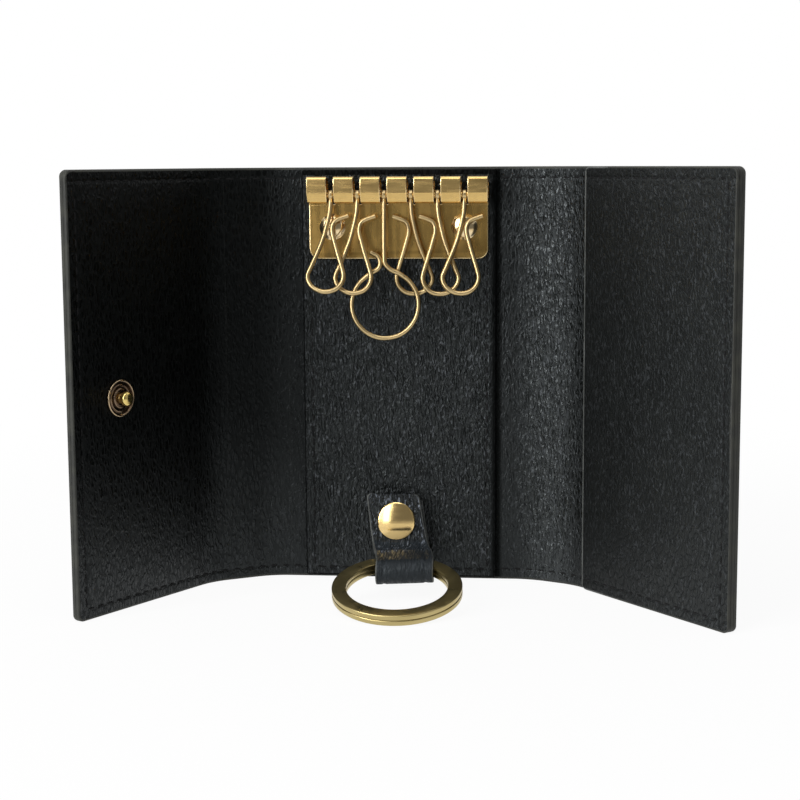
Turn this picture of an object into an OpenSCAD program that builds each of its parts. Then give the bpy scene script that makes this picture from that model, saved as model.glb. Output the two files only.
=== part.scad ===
// Key case standing open: a centre panel with six key hooks on a brass plate, a snap strap that
// holds a split ring, and two flaps that fold over it, each at a spine of its own.
// Lengths are millimetres. The origin is the middle of the centre panel's bottom edge, on the seam
// between its two leathers. X runs to the right, Y to the back and Z up, so that what stands
// in front of the seam has a negative Y. A distance in front of the seam is called forward.

/* [Leather case] */
// Height of the case
case_h = 104; // [96:1:120]
// Width of the centre panel between its fold lines
centre_w = 66; // [62:1:76]
// Width of the left spine between its fold lines
left_spine_w = 17; // [12:0.5:22]
// Width of the right spine between its fold lines
right_spine_w = 13; // [10:0.5:18]
// Width of the left flap past its fold line
left_flap_w = 47.8; // [42:0.2:56]
// Width of the right flap past its fold line
right_flap_w = 55.3; // [50:0.1:62]
// Angle at each of the two left fold lines as the case stands
left_fold_angle = 30.5; // [20:0.5:40]
// Angle at each of the two right fold lines as the case stands
right_fold_angle = 25.6; // [20:0.1:40]
// Thickness of the outer leather
outer_t = 1.2; // [0.9:0.1:1.6]
// Thickness of the lining leather
lining_t = 1; // [0.8:0.1:1.4]
// Width of the strip of leather that bends at each fold line
fold_strip_w = 4; // [3.5:0.1:6]
// Radius of the case's four free corners
corner_r = 1.8; // [1:0.1:3]

/* [Key panel] */
// Width of the leather panel that carries the plate
key_panel_w = 48.3; // [47:0.1:56]
// Thickness of the key panel
key_panel_t = 0.9; // [0.6:0.1:1.4]
// Distance that the key panel stops short of the case's top and bottom
key_panel_inset = 0.6; // [0.2:0.1:2]

/* [Card pocket] */
// Distance from the right flap's fold line to the pocket's open edge
pocket_start = 3.7; // [2.5:0.1:8]
// Thickness of the pocket leather
pocket_t = 0.7; // [0.5:0.1:1.2]
// Depth of the slot between the pocket and the lining
pocket_slot = 0.2; // [0.1:0.05:0.3]
// Width of the pocket's stitched margin
pocket_seam_w = 4; // [2:0.5:6]

/* [Key plate] */
// Width of the plate
plate_w = 44.6; // [44:0.1:46]
// Thickness of the plate's sheet brass
plate_t = 0.6; // [0.5:0.1:0.8]
// Distance from the case's top to the plate's bottom edge
plate_drop = 22.6; // [21:0.1:28]
// Radius of the plate's two bottom corners
plate_corner_r = 2.5; // [1:0.1:4]
// Depth of the plate's rolled knuckles, from the panel's face to their front
barrel_depth = 5.1; // [5:0.1:6]
// Height of the knuckles
barrel_h = 6.5; // [6.2:0.1:7.5]
// Distance from the case's top to the knuckles' top
barrel_drop = 2.3; // [1.5:0.1:5]
// Clearance beside a hook's eye, to the knuckle on each side of it
eye_side = 0.26; // [0.2:0.01:0.4]
// Diameter of the rod that the hooks turn on
rod_d = 1.4; // [1.2:0.1:1.6]
// Distance of the rod's axis below the middle of the knuckles' lower bend
rod_below = 0.5; // [0.4:0.05:0.6]
// Diameter of the two dome rivets
rivet_d = 6.5; // [5.5:0.1:7]
// Height of the two dome rivets
rivet_h = 1.2; // [0.8:0.1:1.6]
// Distance from the plate's side edges to the middle of each rivet
rivet_edge = 5.9; // [5:0.1:8]
// Distance of the rivets below the knuckles
rivet_below = 5.9; // [5:0.1:8]

/* [Key hooks] */
// Diameter of the hook wire
wire_d = 1.2; // [0.9:0.05:1.25]
// Length of a small hook from the rod to the middle of the wire at its bottom
hook_l = 24.4; // [20:0.1:30]
// Width of a small hook's loop between the middles of its wires
hook_w = 8.85; // [7.6:0.05:9.5]
// Length of the large hook from the rod to the middle of the wire at its bottom
big_hook_l = 35.3; // [32:0.1:40]
// Diameter of the large hook's loop at the middle of its wire
big_loop_d = 16.6; // [14:0.1:18]
// Width of the flattened eye on the rod
eye_w = 1.2; // [1.1:0.05:1.3]
// Wall of the flattened eye
eye_t = 0.45; // [0.4:0.05:0.6]
// Angle between a hook and the one that it lies on
fan_angle = 5.3; // [5:0.1:6]

/* [Ring strap] */
// Width of the strap
strap_w = 14; // [12:0.1:14.2]
// Thickness of the strap
strap_t = 1.1; // [0.8:0.1:1.4]
// Height of the strap's top end
strap_top = 22.6; // [21.5:0.1:26]
// Narrowing of the strap at each side of its top end
strap_taper = 0.35; // [0:0.05:1]
// Lean of the strap to the left as it rises
strap_lean = 7.8; // [0:0.1:12]
// Height of the line where the strap bends open
tab_hinge_z = 10.7; // [10:0.1:11]
// Place of the press stud across the case
snap_x = -0.6; // [-2:0.1:2]
// Height of the press stud
snap_z = 15.8; // [15.5:0.1:17]
// Diameter of the strap's brass cap
cap_d = 9.6; // [8.5:0.1:9.8]
// Height of the strap's brass cap
cap_h = 1.3; // [1:0.1:1.8]

/* [Split ring] */
// Outer diameter of the ring
ring_d = 31; // [30:0.1:32]
// Width of the ring's flat band
ring_band = 3.4; // [2.8:0.1:3.6]
// Thickness of one of the ring's two turns
ring_turn_t = 1.27; // [1:0.01:1.4]
// Distance of the ring's middle in front of the seam between the leathers
ring_forward = 33.4; // [32:0.1:36]
// Place of the ring's middle across the case
ring_x = 2.2; // [1:0.1:4]
// Tilt of the ring, its back raised by the strap
ring_tilt = 13.5; // [11:0.5:15]

/* [Flap fastener] */
// Distance from the left flap's free edge to its stud
flap_stud_edge = 15.4; // [13:0.1:20]
// Height of the flap's stud and socket
flap_stud_z = 50.8; // [40:0.1:64]
// Diameter of the flap stud's dish
flap_stud_d = 8.8; // [8:0.1:10]
// Diameter of the flap stud's domed head
flap_head_d = 3.4; // [3:0.1:3.8]
// Height of the flap stud's head above the lining
flap_head_h = 3.2; // [2.7:0.1:3.6]

/* [Hidden] */

// Sides of the case: the left one is the mirror of the right one, with sizes of its own
LEFT = -1;
RIGHT = 1;

// Overrun of every cut past the face that it opens
over = 0.5;
// Clearance of a metal shank in a hole through leather, on the radius
shank_fit = 0.05;
// Running clearance of the rod in the knuckles and in the hooks' eyes, on the radius
rod_fit = 0.05;
// Diameter of the shank of a rivet or stud
shank_d = 2.4;
// Diameter and thickness of the washer that a shank is set on
washer_d = 6;
washer_t = 0.35;

// Forward distance of the key panel's face and of the plate's face
panel_face = lining_t + key_panel_t;
plate_face = panel_face + plate_t;
// Forward distance and heights of the knuckles and the rod
barrel_r = barrel_depth / 2;
barrel_forward = panel_face + barrel_r;
barrel_bottom = case_h - barrel_drop - barrel_h;
barrel_low_z = barrel_bottom + barrel_r;
barrel_high_z = case_h - barrel_drop - barrel_r;
rod_z = barrel_low_z - rod_below;
plate_bottom = case_h - plate_drop;
rivet_x = plate_w / 2 - rivet_edge;
rivet_z = barrel_bottom - rivet_below;
// The slots between knuckles reach this far below them
slot_below = 0.3;
slot_z = barrel_bottom - slot_below;
knuckles = 7;
knuckle_w = (plate_w - (knuckles - 1) * (eye_w + 2 * eye_side)) / knuckles;
knuckle_pitch = (plate_w - knuckle_w) / (knuckles - 1);
// Wall of the curl that seats the rod, and width of the web under it
curl_t = 0.55;
web_w = 1.2;
// The rod's ends lie this far inside the plate's edges
rod_inset = 0.3;

// Facets of a wire, and points between two chosen points of its line
wire_sides = 8;
wire_steps = 2;
// Line of a small hook from the rod to the end of its tail, as shares of hook_w and hook_l
small_hook_shares = [
    [0, 0.04], [-0.02, 0.186], [-0.11, 0.35], [-0.2, 0.472], [-0.335, 0.603], [-0.485, 0.734],
    [-0.593, 0.84], [-0.508, 0.926], [-0.316, 0.98], [-0.085, 1], [0.17, 0.98], [0.35, 0.92],
    [0.412, 0.836], [0.345, 0.734], [0.232, 0.603], [0.13, 0.476], [0.062, 0.374], [0.09, 0.3],
    [0.198, 0.252], [0.508, 0.207]
];
// Lines of the large hook before and after its round loop, as shares of big_loop_d and big_hook_l
big_stem_shares = [[0, 0.028], [0, 0.25], [0.005, 0.43], [0.02, 0.482], [0.1, 0.521], [0.23, 0.547]];
big_tail_shares = [[-0.2, 0.547], [-0.085, 0.515], [-0.055, 0.475], [-0.09, 0.43], [-0.2, 0.4]];
// The large loop's middle lies this share of its diameter beside the stem
big_loop_share = 0.02;
// Half of the angle that the large loop leaves open at its top, and the step of its points
big_loop_gap_angle = 38;
big_loop_step_angle = 14.2;
// Each hook: its place in the fan, the hand of its loop, and whether it is the large one
hooks = [[3, 1, false], [2, 1, false], [1, 1, true], [0, -1, false], [1, -1, false], [2, 1, false]];

// Split ring: how the two turns are wound, as angles, and the gap between them
ring_gap = 0.06;
ring_climb_angle = 30;
ring_end_angle = 326;
ring_step_angle = 8;
ring_start_angle = 120;
ring_t = 2 * ring_turn_t + ring_gap;
ring_r = ring_d / 2;
ring_in_r = ring_r - ring_band;
// Height of the ring's middle, with its front edge on the ground
ring_z = ring_r * sin(ring_tilt) + ring_t / 2 * cos(ring_tilt);

// Strap: clearance to the ring, inner radius of its fold, and radii of its other bends
ring_clear = 0.25;
strap_fold_r = 2;
strap_foot_r = 2.6;
strap_bend_r = 1.6;
// Place of the fold across the case, its rise over the ring's inner edge, and its slant
strap_fold_x = 3.2;
strap_fold_rise = 0.2;
strap_slant_angle = 3;
// Distance of the fixed layer's end below the strap's top end
strap_end_drop = 2.2;
strap_corner_r = 1.2;
// How far the ring's inner edge reaches back, beside the strap's edge
strap_side = strap_w / 2 + abs(strap_fold_x - ring_x);
ring_chord = sqrt(ring_in_r * ring_in_r - strap_side * strap_side);
fold_room = strap_w / 2 * sin(strap_slant_angle) + ring_t / 2;
fold_reach = sqrt(pow(strap_fold_r - ring_clear / 2, 2) - pow(fold_room, 2));
fold_forward = ring_forward - ring_chord * cos(ring_tilt) - fold_reach;
fold_z = ring_z + ring_chord * sin(ring_tilt) + strap_fold_rise;
// Highest and rearmost point of the ring, that the upper run of the strap clears
hump_forward = ring_forward - ring_r * cos(ring_tilt);
hump_z = ring_z + ring_r * sin(ring_tilt) + ring_t / 2 * cos(ring_tilt) + ring_clear + strap_t / 2;
// Forward distances of the strap's fixed layer and of its tab
layer_forward = panel_face + strap_t / 2;
layer_face = panel_face + strap_t;
stud_gap = 1.9;
tab_back = layer_face + stud_gap;
tab_forward = tab_back + strap_t / 2;
tab_face = tab_back + strap_t;
// Radius of the fold's middle line, and heights of the bend below the tab and of the lower run
fold_line_r = strap_fold_r + strap_t / 2;
bend_z = tab_hinge_z - strap_bend_r;
foot_rise = (fold_forward - layer_forward) / strap_w * strap_fold_rise;
foot_z = fold_z - fold_line_r - foot_rise + strap_foot_r;
// Half way along the upper run, this share of its fall from the hump is left
run_share = 0.6;
// Steps of the strap's small bends and of its fold
bend_steps = 6;
fold_steps = 14;
// Clearance round the tab's rounded end, and the cut that frees its swing
tab_fit = 0.08;
tab_free = 0.5;

// Strap stud and its socket
stud_base_d = 7.2;
stud_base_t = 0.3;
stud_neck_r = 1.05;
stud_neck_h = 0.9;
stud_head_r = 1.35;
stud_head_h = 0.6;
socket_gap = 0.1;
socket_floor = 0.25;
socket_bore_r = 1.8;
socket_boss_d = 6.4;
socket_flange_t = 0.4;
strap_socket_h = stud_gap - stud_base_t - socket_gap;
spring_r = 0.18;
spring_gap_angle = 30;
groove_h = 0.5;
groove_depth = 0.55;
// Height of the groove's middle above the socket's open rim
groove_in = 0.5;
cap_post_d = 2;
cap_rim_h = 0.35;

// Flap stud and its socket
dish_floor_t = 0.25;
dish_rim_h = 0.7;
dish_rim_w = 0.55;
boss_d = 4.8;
boss_h = 0.6;
flap_neck_d = 2.4;
flap_head_dome = 0.6;
flap_head_rim = 0.9;
head_fit = 0.15;
flap_socket_h = 1.5;
flap_bore_r = flap_head_d / 2 + head_fit;
tube_t = 0.4;
flap_stud_u = left_flap_w - flap_stud_edge;
// The socket lies where the stud comes down when both flaps are closed
flap_socket_u = centre_w - flap_stud_u;

function fold_of(side) = side == LEFT ? left_fold_angle : right_fold_angle;
function spine_of(side) = side == LEFT ? left_spine_w : right_spine_w;
function flap_of(side) = side == LEFT ? left_flap_w : right_flap_w;
function unit(v) = v / norm(v);
// Point of a smooth line between b and c, and the whole line through a list of points
function between(a, b, c, d, t) =
    (2 * b + (c - a) * t + (2 * a - 5 * b + 4 * c - d) * t * t + (3 * b - a - 3 * c + d) * t * t * t) / 2;
function smooth(p, n) = concat(
    [for (i = [0:len(p) - 2], j = [0:n - 1])
        between(p[max(i - 1, 0)], p[i], p[i + 1], p[min(i + 2, len(p) - 1)], j / n)],
    [p[len(p) - 1]]);
function along(p, i) = unit(p[min(i + 1, len(p) - 1)] - p[max(i - 1, 0)]);
function arc(centre, r, from, to, n) =
    [for (i = [0:n]) let (a = from + (to - from) * i / n) centre + r * [cos(a), sin(a)]];

// Solid through a list of rings, each a list of as many points
module skin(rings) {
    n = len(rings);
    m = len(rings[0]);
    sides = [for (i = [0:n - 2], k = [0:m - 1], half = [0, 1]) half == 0
        ? [i * m + k, (i + 1) * m + (k + 1) % m, i * m + (k + 1) % m]
        : [i * m + k, (i + 1) * m + k, (i + 1) * m + (k + 1) % m]];
    first = [for (k = [0:m - 1]) k];
    last = [for (k = [m - 1:-1:0]) (n - 1) * m + k];
    polyhedron([for (r = rings, p = r) p], concat([first], sides, [last]));
}

// Places of the sides, spines and flaps. The frame of each runs outwards along X.
module on_side(side) {
    if (side == LEFT) mirror([1, 0, 0]) children();
    else children();
}

module at_back_fold(side) {
    on_side(side) translate([centre_w / 2, 0, 0]) children();
}

module on_spine(side) {
    at_back_fold(side) rotate([0, 0, -fold_of(side)]) children();
}

module at_flap_fold(side) {
    on_spine(side) translate([spine_of(side), 0, 0]) children();
}

module on_flap(side) {
    at_flap_fold(side) rotate([0, 0, -fold_of(side)]) children();
}

// Stands a round piece on a face: its own Z runs forward from there
module facing(x, z, forward) {
    translate([x, -forward, z]) rotate([90, 0, 0]) children();
}

// Extrudes an outline drawn as forward distance and height, between two places across
module across(from, width) {
    translate([from + width, 0, 0]) rotate([90, 0, -90]) linear_extrude(width) children();
}

// Extrudes an outline drawn as place across and height, from one forward distance to another
module forward_plate(from, thick) {
    translate([0, -from, 0]) rotate([90, 0, 0]) linear_extrude(thick) children();
}

// Sheet from one end to another, with its far corners rounded
module flap_outline(from, to, low, high, r) {
    translate([from, low]) square([to - r - from, high - low]);
    translate([to - 2 * r, low + r]) square([2 * r, high - low - 2 * r]);
    for (z = [low + r, high - r]) translate([to - r, z]) circle(r, $fn = 48);
}

module shank_hole(x, z, d) {
    facing(x, z, -(outer_t + over))
        cylinder(h = outer_t + tab_face + 2 * over, d = d + 2 * shank_fit, $fn = 32);
}

module washer_seat(x, z, d) {
    facing(x, z, -washer_t) cylinder(h = washer_t + over, d = d + 2 * shank_fit, $fn = 48);
}

// Leather
module panel(from, to, back, thick) {
    translate([from, back - thick, 0]) cube([to - from, thick, case_h]);
}

module outer_centre() {
    color([0.09, 0.09, 0.1]) difference() {
        panel(-(centre_w - fold_strip_w) / 2, (centre_w - fold_strip_w) / 2, outer_t, outer_t);
        for (x = [-rivet_x, rivet_x]) washer_seat(x, rivet_z, washer_d);
        washer_seat(snap_x, snap_z, washer_d);
    }
}

module lining_centre() {
    color([0.14, 0.14, 0.15]) difference() {
        panel(-(centre_w - fold_strip_w) / 2, (centre_w - fold_strip_w) / 2, 0, lining_t);
        for (x = [-rivet_x, rivet_x]) shank_hole(x, rivet_z, shank_d);
        shank_hole(snap_x, snap_z, shank_d);
    }
}

module spine(side, back, thick) {
    on_spine(side) panel(fold_strip_w / 2, spine_of(side) - fold_strip_w / 2, back, thick);
}

module flap(side, back, thick) {
    on_flap(side) forward_plate(-back, thick)
        flap_outline(fold_strip_w / 2, flap_of(side), 0, case_h, corner_r);
}

// Bent strip at a fold line, drawn where the fold line is the origin
module fold_strip(side, back, thick) {
    bend_r = fold_strip_w / 2 / tan(fold_of(side) / 2);
    translate([-fold_strip_w / 2, -bend_r, 0]) rotate([0, 0, 90 - fold_of(side)])
        rotate_extrude(angle = fold_of(side), $fn = 96)
            translate([bend_r + back - thick, 0]) square([thick, case_h]);
}

module outer_flap(side) {
    color([0.09, 0.09, 0.1]) difference() {
        flap(side, outer_t, outer_t);
        if (side == LEFT) on_flap(side) washer_seat(flap_stud_u, flap_stud_z, washer_d);
        else on_flap(side) shank_hole(flap_socket_u, flap_stud_z, 2 * (flap_bore_r + tube_t));
    }
}

module lining_flap(side) {
    color([0.14, 0.14, 0.15]) difference() {
        flap(side, 0, lining_t);
        if (side == LEFT) on_flap(side) shank_hole(flap_stud_u, flap_stud_z, shank_d);
        else on_flap(side) facing(flap_socket_u, flap_stud_z, -over)
            cylinder(h = washer_t + over, d = washer_d + 2 * shank_fit, $fn = 48);
    }
}

module outer_fold(side, at_flap) {
    color([0.08, 0.08, 0.09]) {
        if (at_flap) at_flap_fold(side) fold_strip(side, outer_t, outer_t);
        else at_back_fold(side) fold_strip(side, outer_t, outer_t);
    }
}

module lining_fold(side, at_flap) {
    color([0.12, 0.12, 0.13]) {
        if (at_flap) at_flap_fold(side) fold_strip(side, 0, lining_t);
        else at_back_fold(side) fold_strip(side, 0, lining_t);
    }
}

module key_panel() {
    color([0.16, 0.16, 0.17]) difference() {
        translate([-key_panel_w / 2, -panel_face, key_panel_inset])
            cube([key_panel_w, key_panel_t, case_h - 2 * key_panel_inset]);
        for (x = [-rivet_x, rivet_x]) shank_hole(x, rivet_z, shank_d);
        shank_hole(snap_x, snap_z, shank_d);
    }
}

// Pocket leather, sewn down along its top, bottom and outer edge and open towards the fold
module card_pocket() {
    color([0.18, 0.18, 0.19]) difference() {
        on_flap(RIGHT) forward_plate(lining_t, pocket_t)
            flap_outline(pocket_start, right_flap_w, 0, case_h, corner_r);
        on_flap(RIGHT) translate([pocket_start - over, -lining_t - pocket_slot, pocket_seam_w])
            cube([right_flap_w - pocket_seam_w - pocket_start + over, pocket_slot + over,
                case_h - 2 * pocket_seam_w]);
    }
}

// Rolled brass: the sheet runs up the panel and round a flat-fronted roll, and its end seats the rod
module barrel_section(r) {
    for (z = [barrel_low_z, barrel_high_z]) translate([barrel_forward, z]) circle(r, $fn = 64);
    translate([barrel_forward - r, barrel_low_z]) square([2 * r, barrel_high_z - barrel_low_z]);
}

module barrel_outline() {
    difference() {
        union() {
            translate([panel_face, slot_z]) square([plate_t, barrel_low_z - slot_z]);
            difference() {
                barrel_section(barrel_r);
                barrel_section(barrel_r - plate_t);
            }
            translate([barrel_forward, rod_z]) circle(rod_d / 2 + rod_fit + curl_t, $fn = 48);
            translate([barrel_forward - web_w / 2, barrel_bottom + plate_t / 2])
                square([web_w, rod_z - barrel_bottom - plate_t / 2]);
        }
        translate([barrel_forward, rod_z]) circle(rod_d / 2 + rod_fit, $fn = 48);
    }
}

module key_plate() {
    color([0.72, 0.6, 0.36]) difference() {
        union() {
            forward_plate(panel_face, plate_t) difference() {
                translate([-plate_w / 2, plate_bottom]) square([plate_w, slot_z - plate_bottom]);
                for (s = [-1, 1]) translate([s * plate_w / 2, plate_bottom]) difference() {
                    square(2 * plate_corner_r, center = true);
                    translate([-s * plate_corner_r, plate_corner_r]) circle(plate_corner_r, $fn = 48);
                }
            }
            for (i = [0:knuckles - 1]) across(i * knuckle_pitch - plate_w / 2, knuckle_w) barrel_outline();
        }
        for (x = [-rivet_x, rivet_x]) shank_hole(x, rivet_z, shank_d);
    }
}

module hook_rod() {
    color([0.66, 0.54, 0.32]) translate([-plate_w / 2 + rod_inset, -barrel_forward, rod_z])
        rotate([0, 90, 0]) cylinder(h = plate_w - 2 * rod_inset, d = rod_d, $fn = 48);
}

// Cap of a sphere on a round base
module dome(d, h) {
    r = (d * d / 4 + h * h) / (2 * h);
    intersection() {
        translate([0, 0, h - r]) sphere(r, $fn = 96);
        cylinder(h = h + over, d = d, $fn = 64);
    }
}

module plate_rivets() {
    color([0.85, 0.72, 0.42]) for (x = [-rivet_x, rivet_x]) {
        facing(x, rivet_z, plate_face) dome(rivet_d, rivet_h);
        facing(x, rivet_z, 0) cylinder(h = plate_face, d = shank_d, $fn = 32);
    }
}

module washer(x, z) {
    facing(x, z, -washer_t) cylinder(h = washer_t, d = washer_d, $fn = 48);
}

module rivet_washers() {
    color([0.7, 0.58, 0.34]) for (x = [-rivet_x, rivet_x]) washer(x, rivet_z);
}

// Key hooks. A hook's line runs down from the rod, drawn as place across and height.
function hook_line(big) = big
    ? concat(
        smooth([for (s = big_stem_shares) [s[0] * big_loop_d, -s[1] * big_hook_l]], wire_steps),
        [for (a = [big_loop_gap_angle:big_loop_step_angle:360 - big_loop_gap_angle])
            [big_loop_share * big_loop_d, big_loop_d / 2 - big_hook_l] + big_loop_d / 2 * [sin(a), cos(a)]],
        smooth([for (s = big_tail_shares) [s[0] * big_loop_d, -s[1] * big_hook_l]], wire_steps))
    : smooth([for (s = small_hook_shares) [s[0] * hook_w, -s[1] * hook_l]], wire_steps);

module wire(line, r) {
    skin([for (i = [0:len(line) - 1]) let (t = along(line, i))
        [for (k = [0:wire_sides - 1]) let (a = 360 * k / wire_sides)
            [line[i][0] + r * cos(a) * t[1], r * sin(a), line[i][1] - r * cos(a) * t[0]]]]);
}

module hook(number) {
    h = hooks[number - 1];
    x = (number - knuckles / 2) * knuckle_pitch;
    color([0.86, 0.74, 0.46]) translate([x, -barrel_forward, rod_z]) rotate([-h[0] * fan_angle, 0, 0])
        difference() {
            union() {
                translate([-eye_w / 2, 0, 0]) rotate([0, 90, 0])
                    cylinder(h = eye_w, r = rod_d / 2 + rod_fit + eye_t, $fn = 48);
                wire([for (p = hook_line(h[2])) [h[1] * p[0], p[1]]], wire_d / 2);
            }
            translate([-eye_w / 2 - over, 0, 0]) rotate([0, 90, 0])
                cylinder(h = eye_w + 2 * over, r = rod_d / 2 + rod_fit, $fn = 48);
        }
}

// Ring strap. Its line is drawn as forward distance and height, with its place across.
function lean_x(z) = snap_x - tan(strap_lean) * (z - snap_z);
function strap_line() = concat(
    [[layer_forward, strap_top - strap_end_drop]],
    arc([layer_forward + strap_foot_r, foot_z], strap_foot_r, 180, 270, bend_steps),
    arc([fold_forward, fold_z], fold_line_r, -90, 90, fold_steps),
    smooth([[hump_forward, hump_z],
        [(hump_forward + tab_forward + strap_bend_r) / 2, bend_z + run_share * (hump_z - bend_z)],
        [tab_forward + strap_bend_r, bend_z]], wire_steps),
    arc([tab_forward + strap_bend_r, tab_hinge_z], strap_bend_r, 270, 180, bend_steps));
// Place across of a point of the line: it leans on the panel and drifts to the fold
function fold_share(p) = max(0, min(1, (p[0] - tab_forward) / (fold_forward - tab_forward)));
function strap_x(p) = (1 - fold_share(p)) * lean_x(p[1]) + fold_share(p) * strap_fold_x;

module strap_loop() {
    line = strap_line();
    color([0.13, 0.13, 0.14]) difference() {
        skin([for (i = [0:len(line) - 1]) let (t = along(line, i), n = strap_t / 2 * [-t[1], t[0]],
                x = strap_x(line[i]), w = strap_w / 2, p = line[i] + n, q = line[i] - n,
                h = w * sin(strap_slant_angle) * fold_share(line[i]))
            [[x - w, -p[0], p[1] - h], [x - w, -q[0], q[1] - h],
                [x + w, -q[0], q[1] + h], [x + w, -p[0], p[1] + h]]]);
        translate([snap_x, -tab_forward, tab_hinge_z]) {
            rotate([0, 90, 0])
                cylinder(h = 2 * strap_w, r = strap_t / 2 + tab_fit, center = true, $fn = 48);
            translate([-strap_w, -strap_t, -tab_free]) cube([2 * strap_w, 2 * strap_t, strap_t]);
        }
        shank_hole(snap_x, snap_z, shank_d);
    }
}

// Free end of the strap, leaning, with a round bottom edge on the line where it bends
module strap_tab() {
    reach = strap_top - tab_hinge_z;
    shift = tan(strap_lean) * reach;
    x = lean_x(tab_hinge_z);
    r = strap_corner_r;
    color([0.17, 0.17, 0.18]) difference() {
        union() {
            forward_plate(tab_back, strap_t) hull() {
                translate([x - strap_w / 2, tab_hinge_z]) square([strap_w, strap_t / 2]);
                for (s = [-1, 1])
                    translate([x - shift + s * (strap_w / 2 - strap_taper - r), strap_top - r])
                        circle(r, $fn = 32);
            }
            translate([x - strap_w / 2, -tab_forward, tab_hinge_z]) rotate([0, 90, 0])
                cylinder(h = strap_w, d = strap_t, $fn = 48);
        }
        facing(snap_x, snap_z, tab_back - over)
            cylinder(h = strap_t + 2 * over, d = cap_post_d + 2 * shank_fit, $fn = 32);
    }
}

module strap_cap() {
    color([0.85, 0.72, 0.42]) {
        facing(snap_x, snap_z, tab_face) cylinder(h = cap_rim_h, d = cap_d, $fn = 64);
        facing(snap_x, snap_z, tab_face + cap_rim_h) dome(cap_d, cap_h - cap_rim_h);
        facing(snap_x, snap_z, tab_back - socket_floor)
            cylinder(h = strap_t + socket_floor, d = cap_post_d, $fn = 32);
    }
}

// Socket of a press stud, open at its own top, with a floor that its post is set in
module socket(h, bore_r, floor_t, post_d) {
    difference() {
        union() {
            cylinder(h = socket_flange_t, d = stud_base_d, $fn = 64);
            cylinder(h = h, d = socket_boss_d, $fn = 64);
        }
        translate([0, 0, floor_t]) cylinder(h = h, r = bore_r, $fn = 48);
        translate([0, 0, -over]) cylinder(h = h, d = post_d + 2 * shank_fit, $fn = 32);
        translate([0, 0, h - groove_in - groove_h / 2])
            cylinder(h = groove_h, r = bore_r + groove_depth, $fn = 48);
    }
}

module socket_spring(h, bore_r) {
    translate([0, 0, h - groove_in]) rotate_extrude(angle = 360 - spring_gap_angle, $fn = 48)
        translate([bore_r, 0]) circle(spring_r, $fn = 16);
}

module strap_socket() {
    color([0.7, 0.58, 0.34]) facing(snap_x, snap_z, tab_back) mirror([0, 0, 1])
        socket(strap_socket_h, socket_bore_r, socket_floor, cap_post_d);
}

module strap_socket_spring() {
    color([0.8, 0.8, 0.8]) facing(snap_x, snap_z, tab_back) mirror([0, 0, 1])
        socket_spring(strap_socket_h, socket_bore_r);
}

module strap_stud() {
    color([0.75, 0.63, 0.38]) {
        facing(snap_x, snap_z, layer_face) {
            cylinder(h = stud_base_t, d = stud_base_d, $fn = 64);
            cylinder(h = stud_neck_h, r = stud_neck_r, $fn = 32);
            translate([0, 0, stud_neck_h]) cylinder(h = stud_head_h, r = stud_head_r, $fn = 32);
        }
        facing(snap_x, snap_z, 0) cylinder(h = layer_face, d = shank_d, $fn = 32);
    }
}

module strap_stud_washer() {
    color([0.7, 0.58, 0.34]) washer(snap_x, snap_z);
}

// Split ring: two flat turns of one band, which climbs from one to the other
function ring_rise(a) =
    (ring_turn_t + ring_gap) * min(1, max(0, (a - 360 + ring_climb_angle) / ring_climb_angle));

module split_ring() {
    last = 360 + ring_end_angle;
    steps = ceil(last / ring_step_angle);
    color([0.62, 0.52, 0.26]) translate([ring_x, -ring_forward, ring_z]) rotate([ring_tilt, 0, 0])
        translate([0, 0, -ring_t / 2]) skin([for (i = [0:steps])
            let (a = last * i / steps, z = ring_rise(a), top = z + ring_turn_t,
                u = [cos(a + ring_start_angle), sin(a + ring_start_angle)],
                p = ring_r * u, q = ring_in_r * u)
            [[q[0], q[1], z], [q[0], q[1], top], [p[0], p[1], top], [p[0], p[1], z]]]);
}

// Flap fastener: a domed stud inside the left flap and a socket outside the right one
module flap_stud() {
    color([0.78, 0.64, 0.36]) on_flap(LEFT) {
        facing(flap_stud_u, flap_stud_z, lining_t) {
            cylinder(h = dish_floor_t, d = flap_stud_d, $fn = 64);
            difference() {
                cylinder(h = dish_rim_h, d = flap_stud_d, $fn = 64);
                translate([0, 0, -over])
                    cylinder(h = dish_rim_h + 2 * over, d = flap_stud_d - 2 * dish_rim_w, $fn = 64);
            }
            cylinder(h = boss_h, d = boss_d, $fn = 48);
            cylinder(h = flap_head_h - flap_head_dome, d = flap_neck_d, $fn = 32);
            translate([0, 0, flap_head_h - flap_head_dome - flap_head_rim])
                cylinder(h = flap_head_rim, d = flap_head_d, $fn = 48);
            translate([0, 0, flap_head_h - flap_head_dome]) dome(flap_head_d, flap_head_dome);
        }
        facing(flap_stud_u, flap_stud_z, 0) cylinder(h = lining_t, d = shank_d, $fn = 32);
    }
}

module flap_stud_washer() {
    color([0.7, 0.58, 0.34]) on_flap(LEFT) washer(flap_stud_u, flap_stud_z);
}

module on_socket() {
    on_flap(RIGHT) translate([flap_socket_u, outer_t, flap_stud_z]) rotate([-90, 0, 0]) children();
}

module flap_socket() {
    color([0.75, 0.63, 0.38]) on_socket() socket(flap_socket_h, flap_bore_r, 0, 2 * flap_bore_r);
}

module flap_socket_spring() {
    color([0.8, 0.8, 0.8]) on_socket() socket_spring(flap_socket_h, flap_bore_r);
}

// Tube through the outer leather that holds the socket, flared in the lining's recess
module flap_socket_tube() {
    color([0.7, 0.58, 0.34]) on_socket() difference() {
        translate([0, 0, -outer_t - washer_t]) {
            cylinder(h = washer_t, d = washer_d, $fn = 48);
            cylinder(h = outer_t + washer_t, r = flap_bore_r + tube_t, $fn = 48);
        }
        translate([0, 0, -outer_t - washer_t - over])
            cylinder(h = outer_t + washer_t + 2 * over, r = flap_bore_r, $fn = 48);
    }
}

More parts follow.
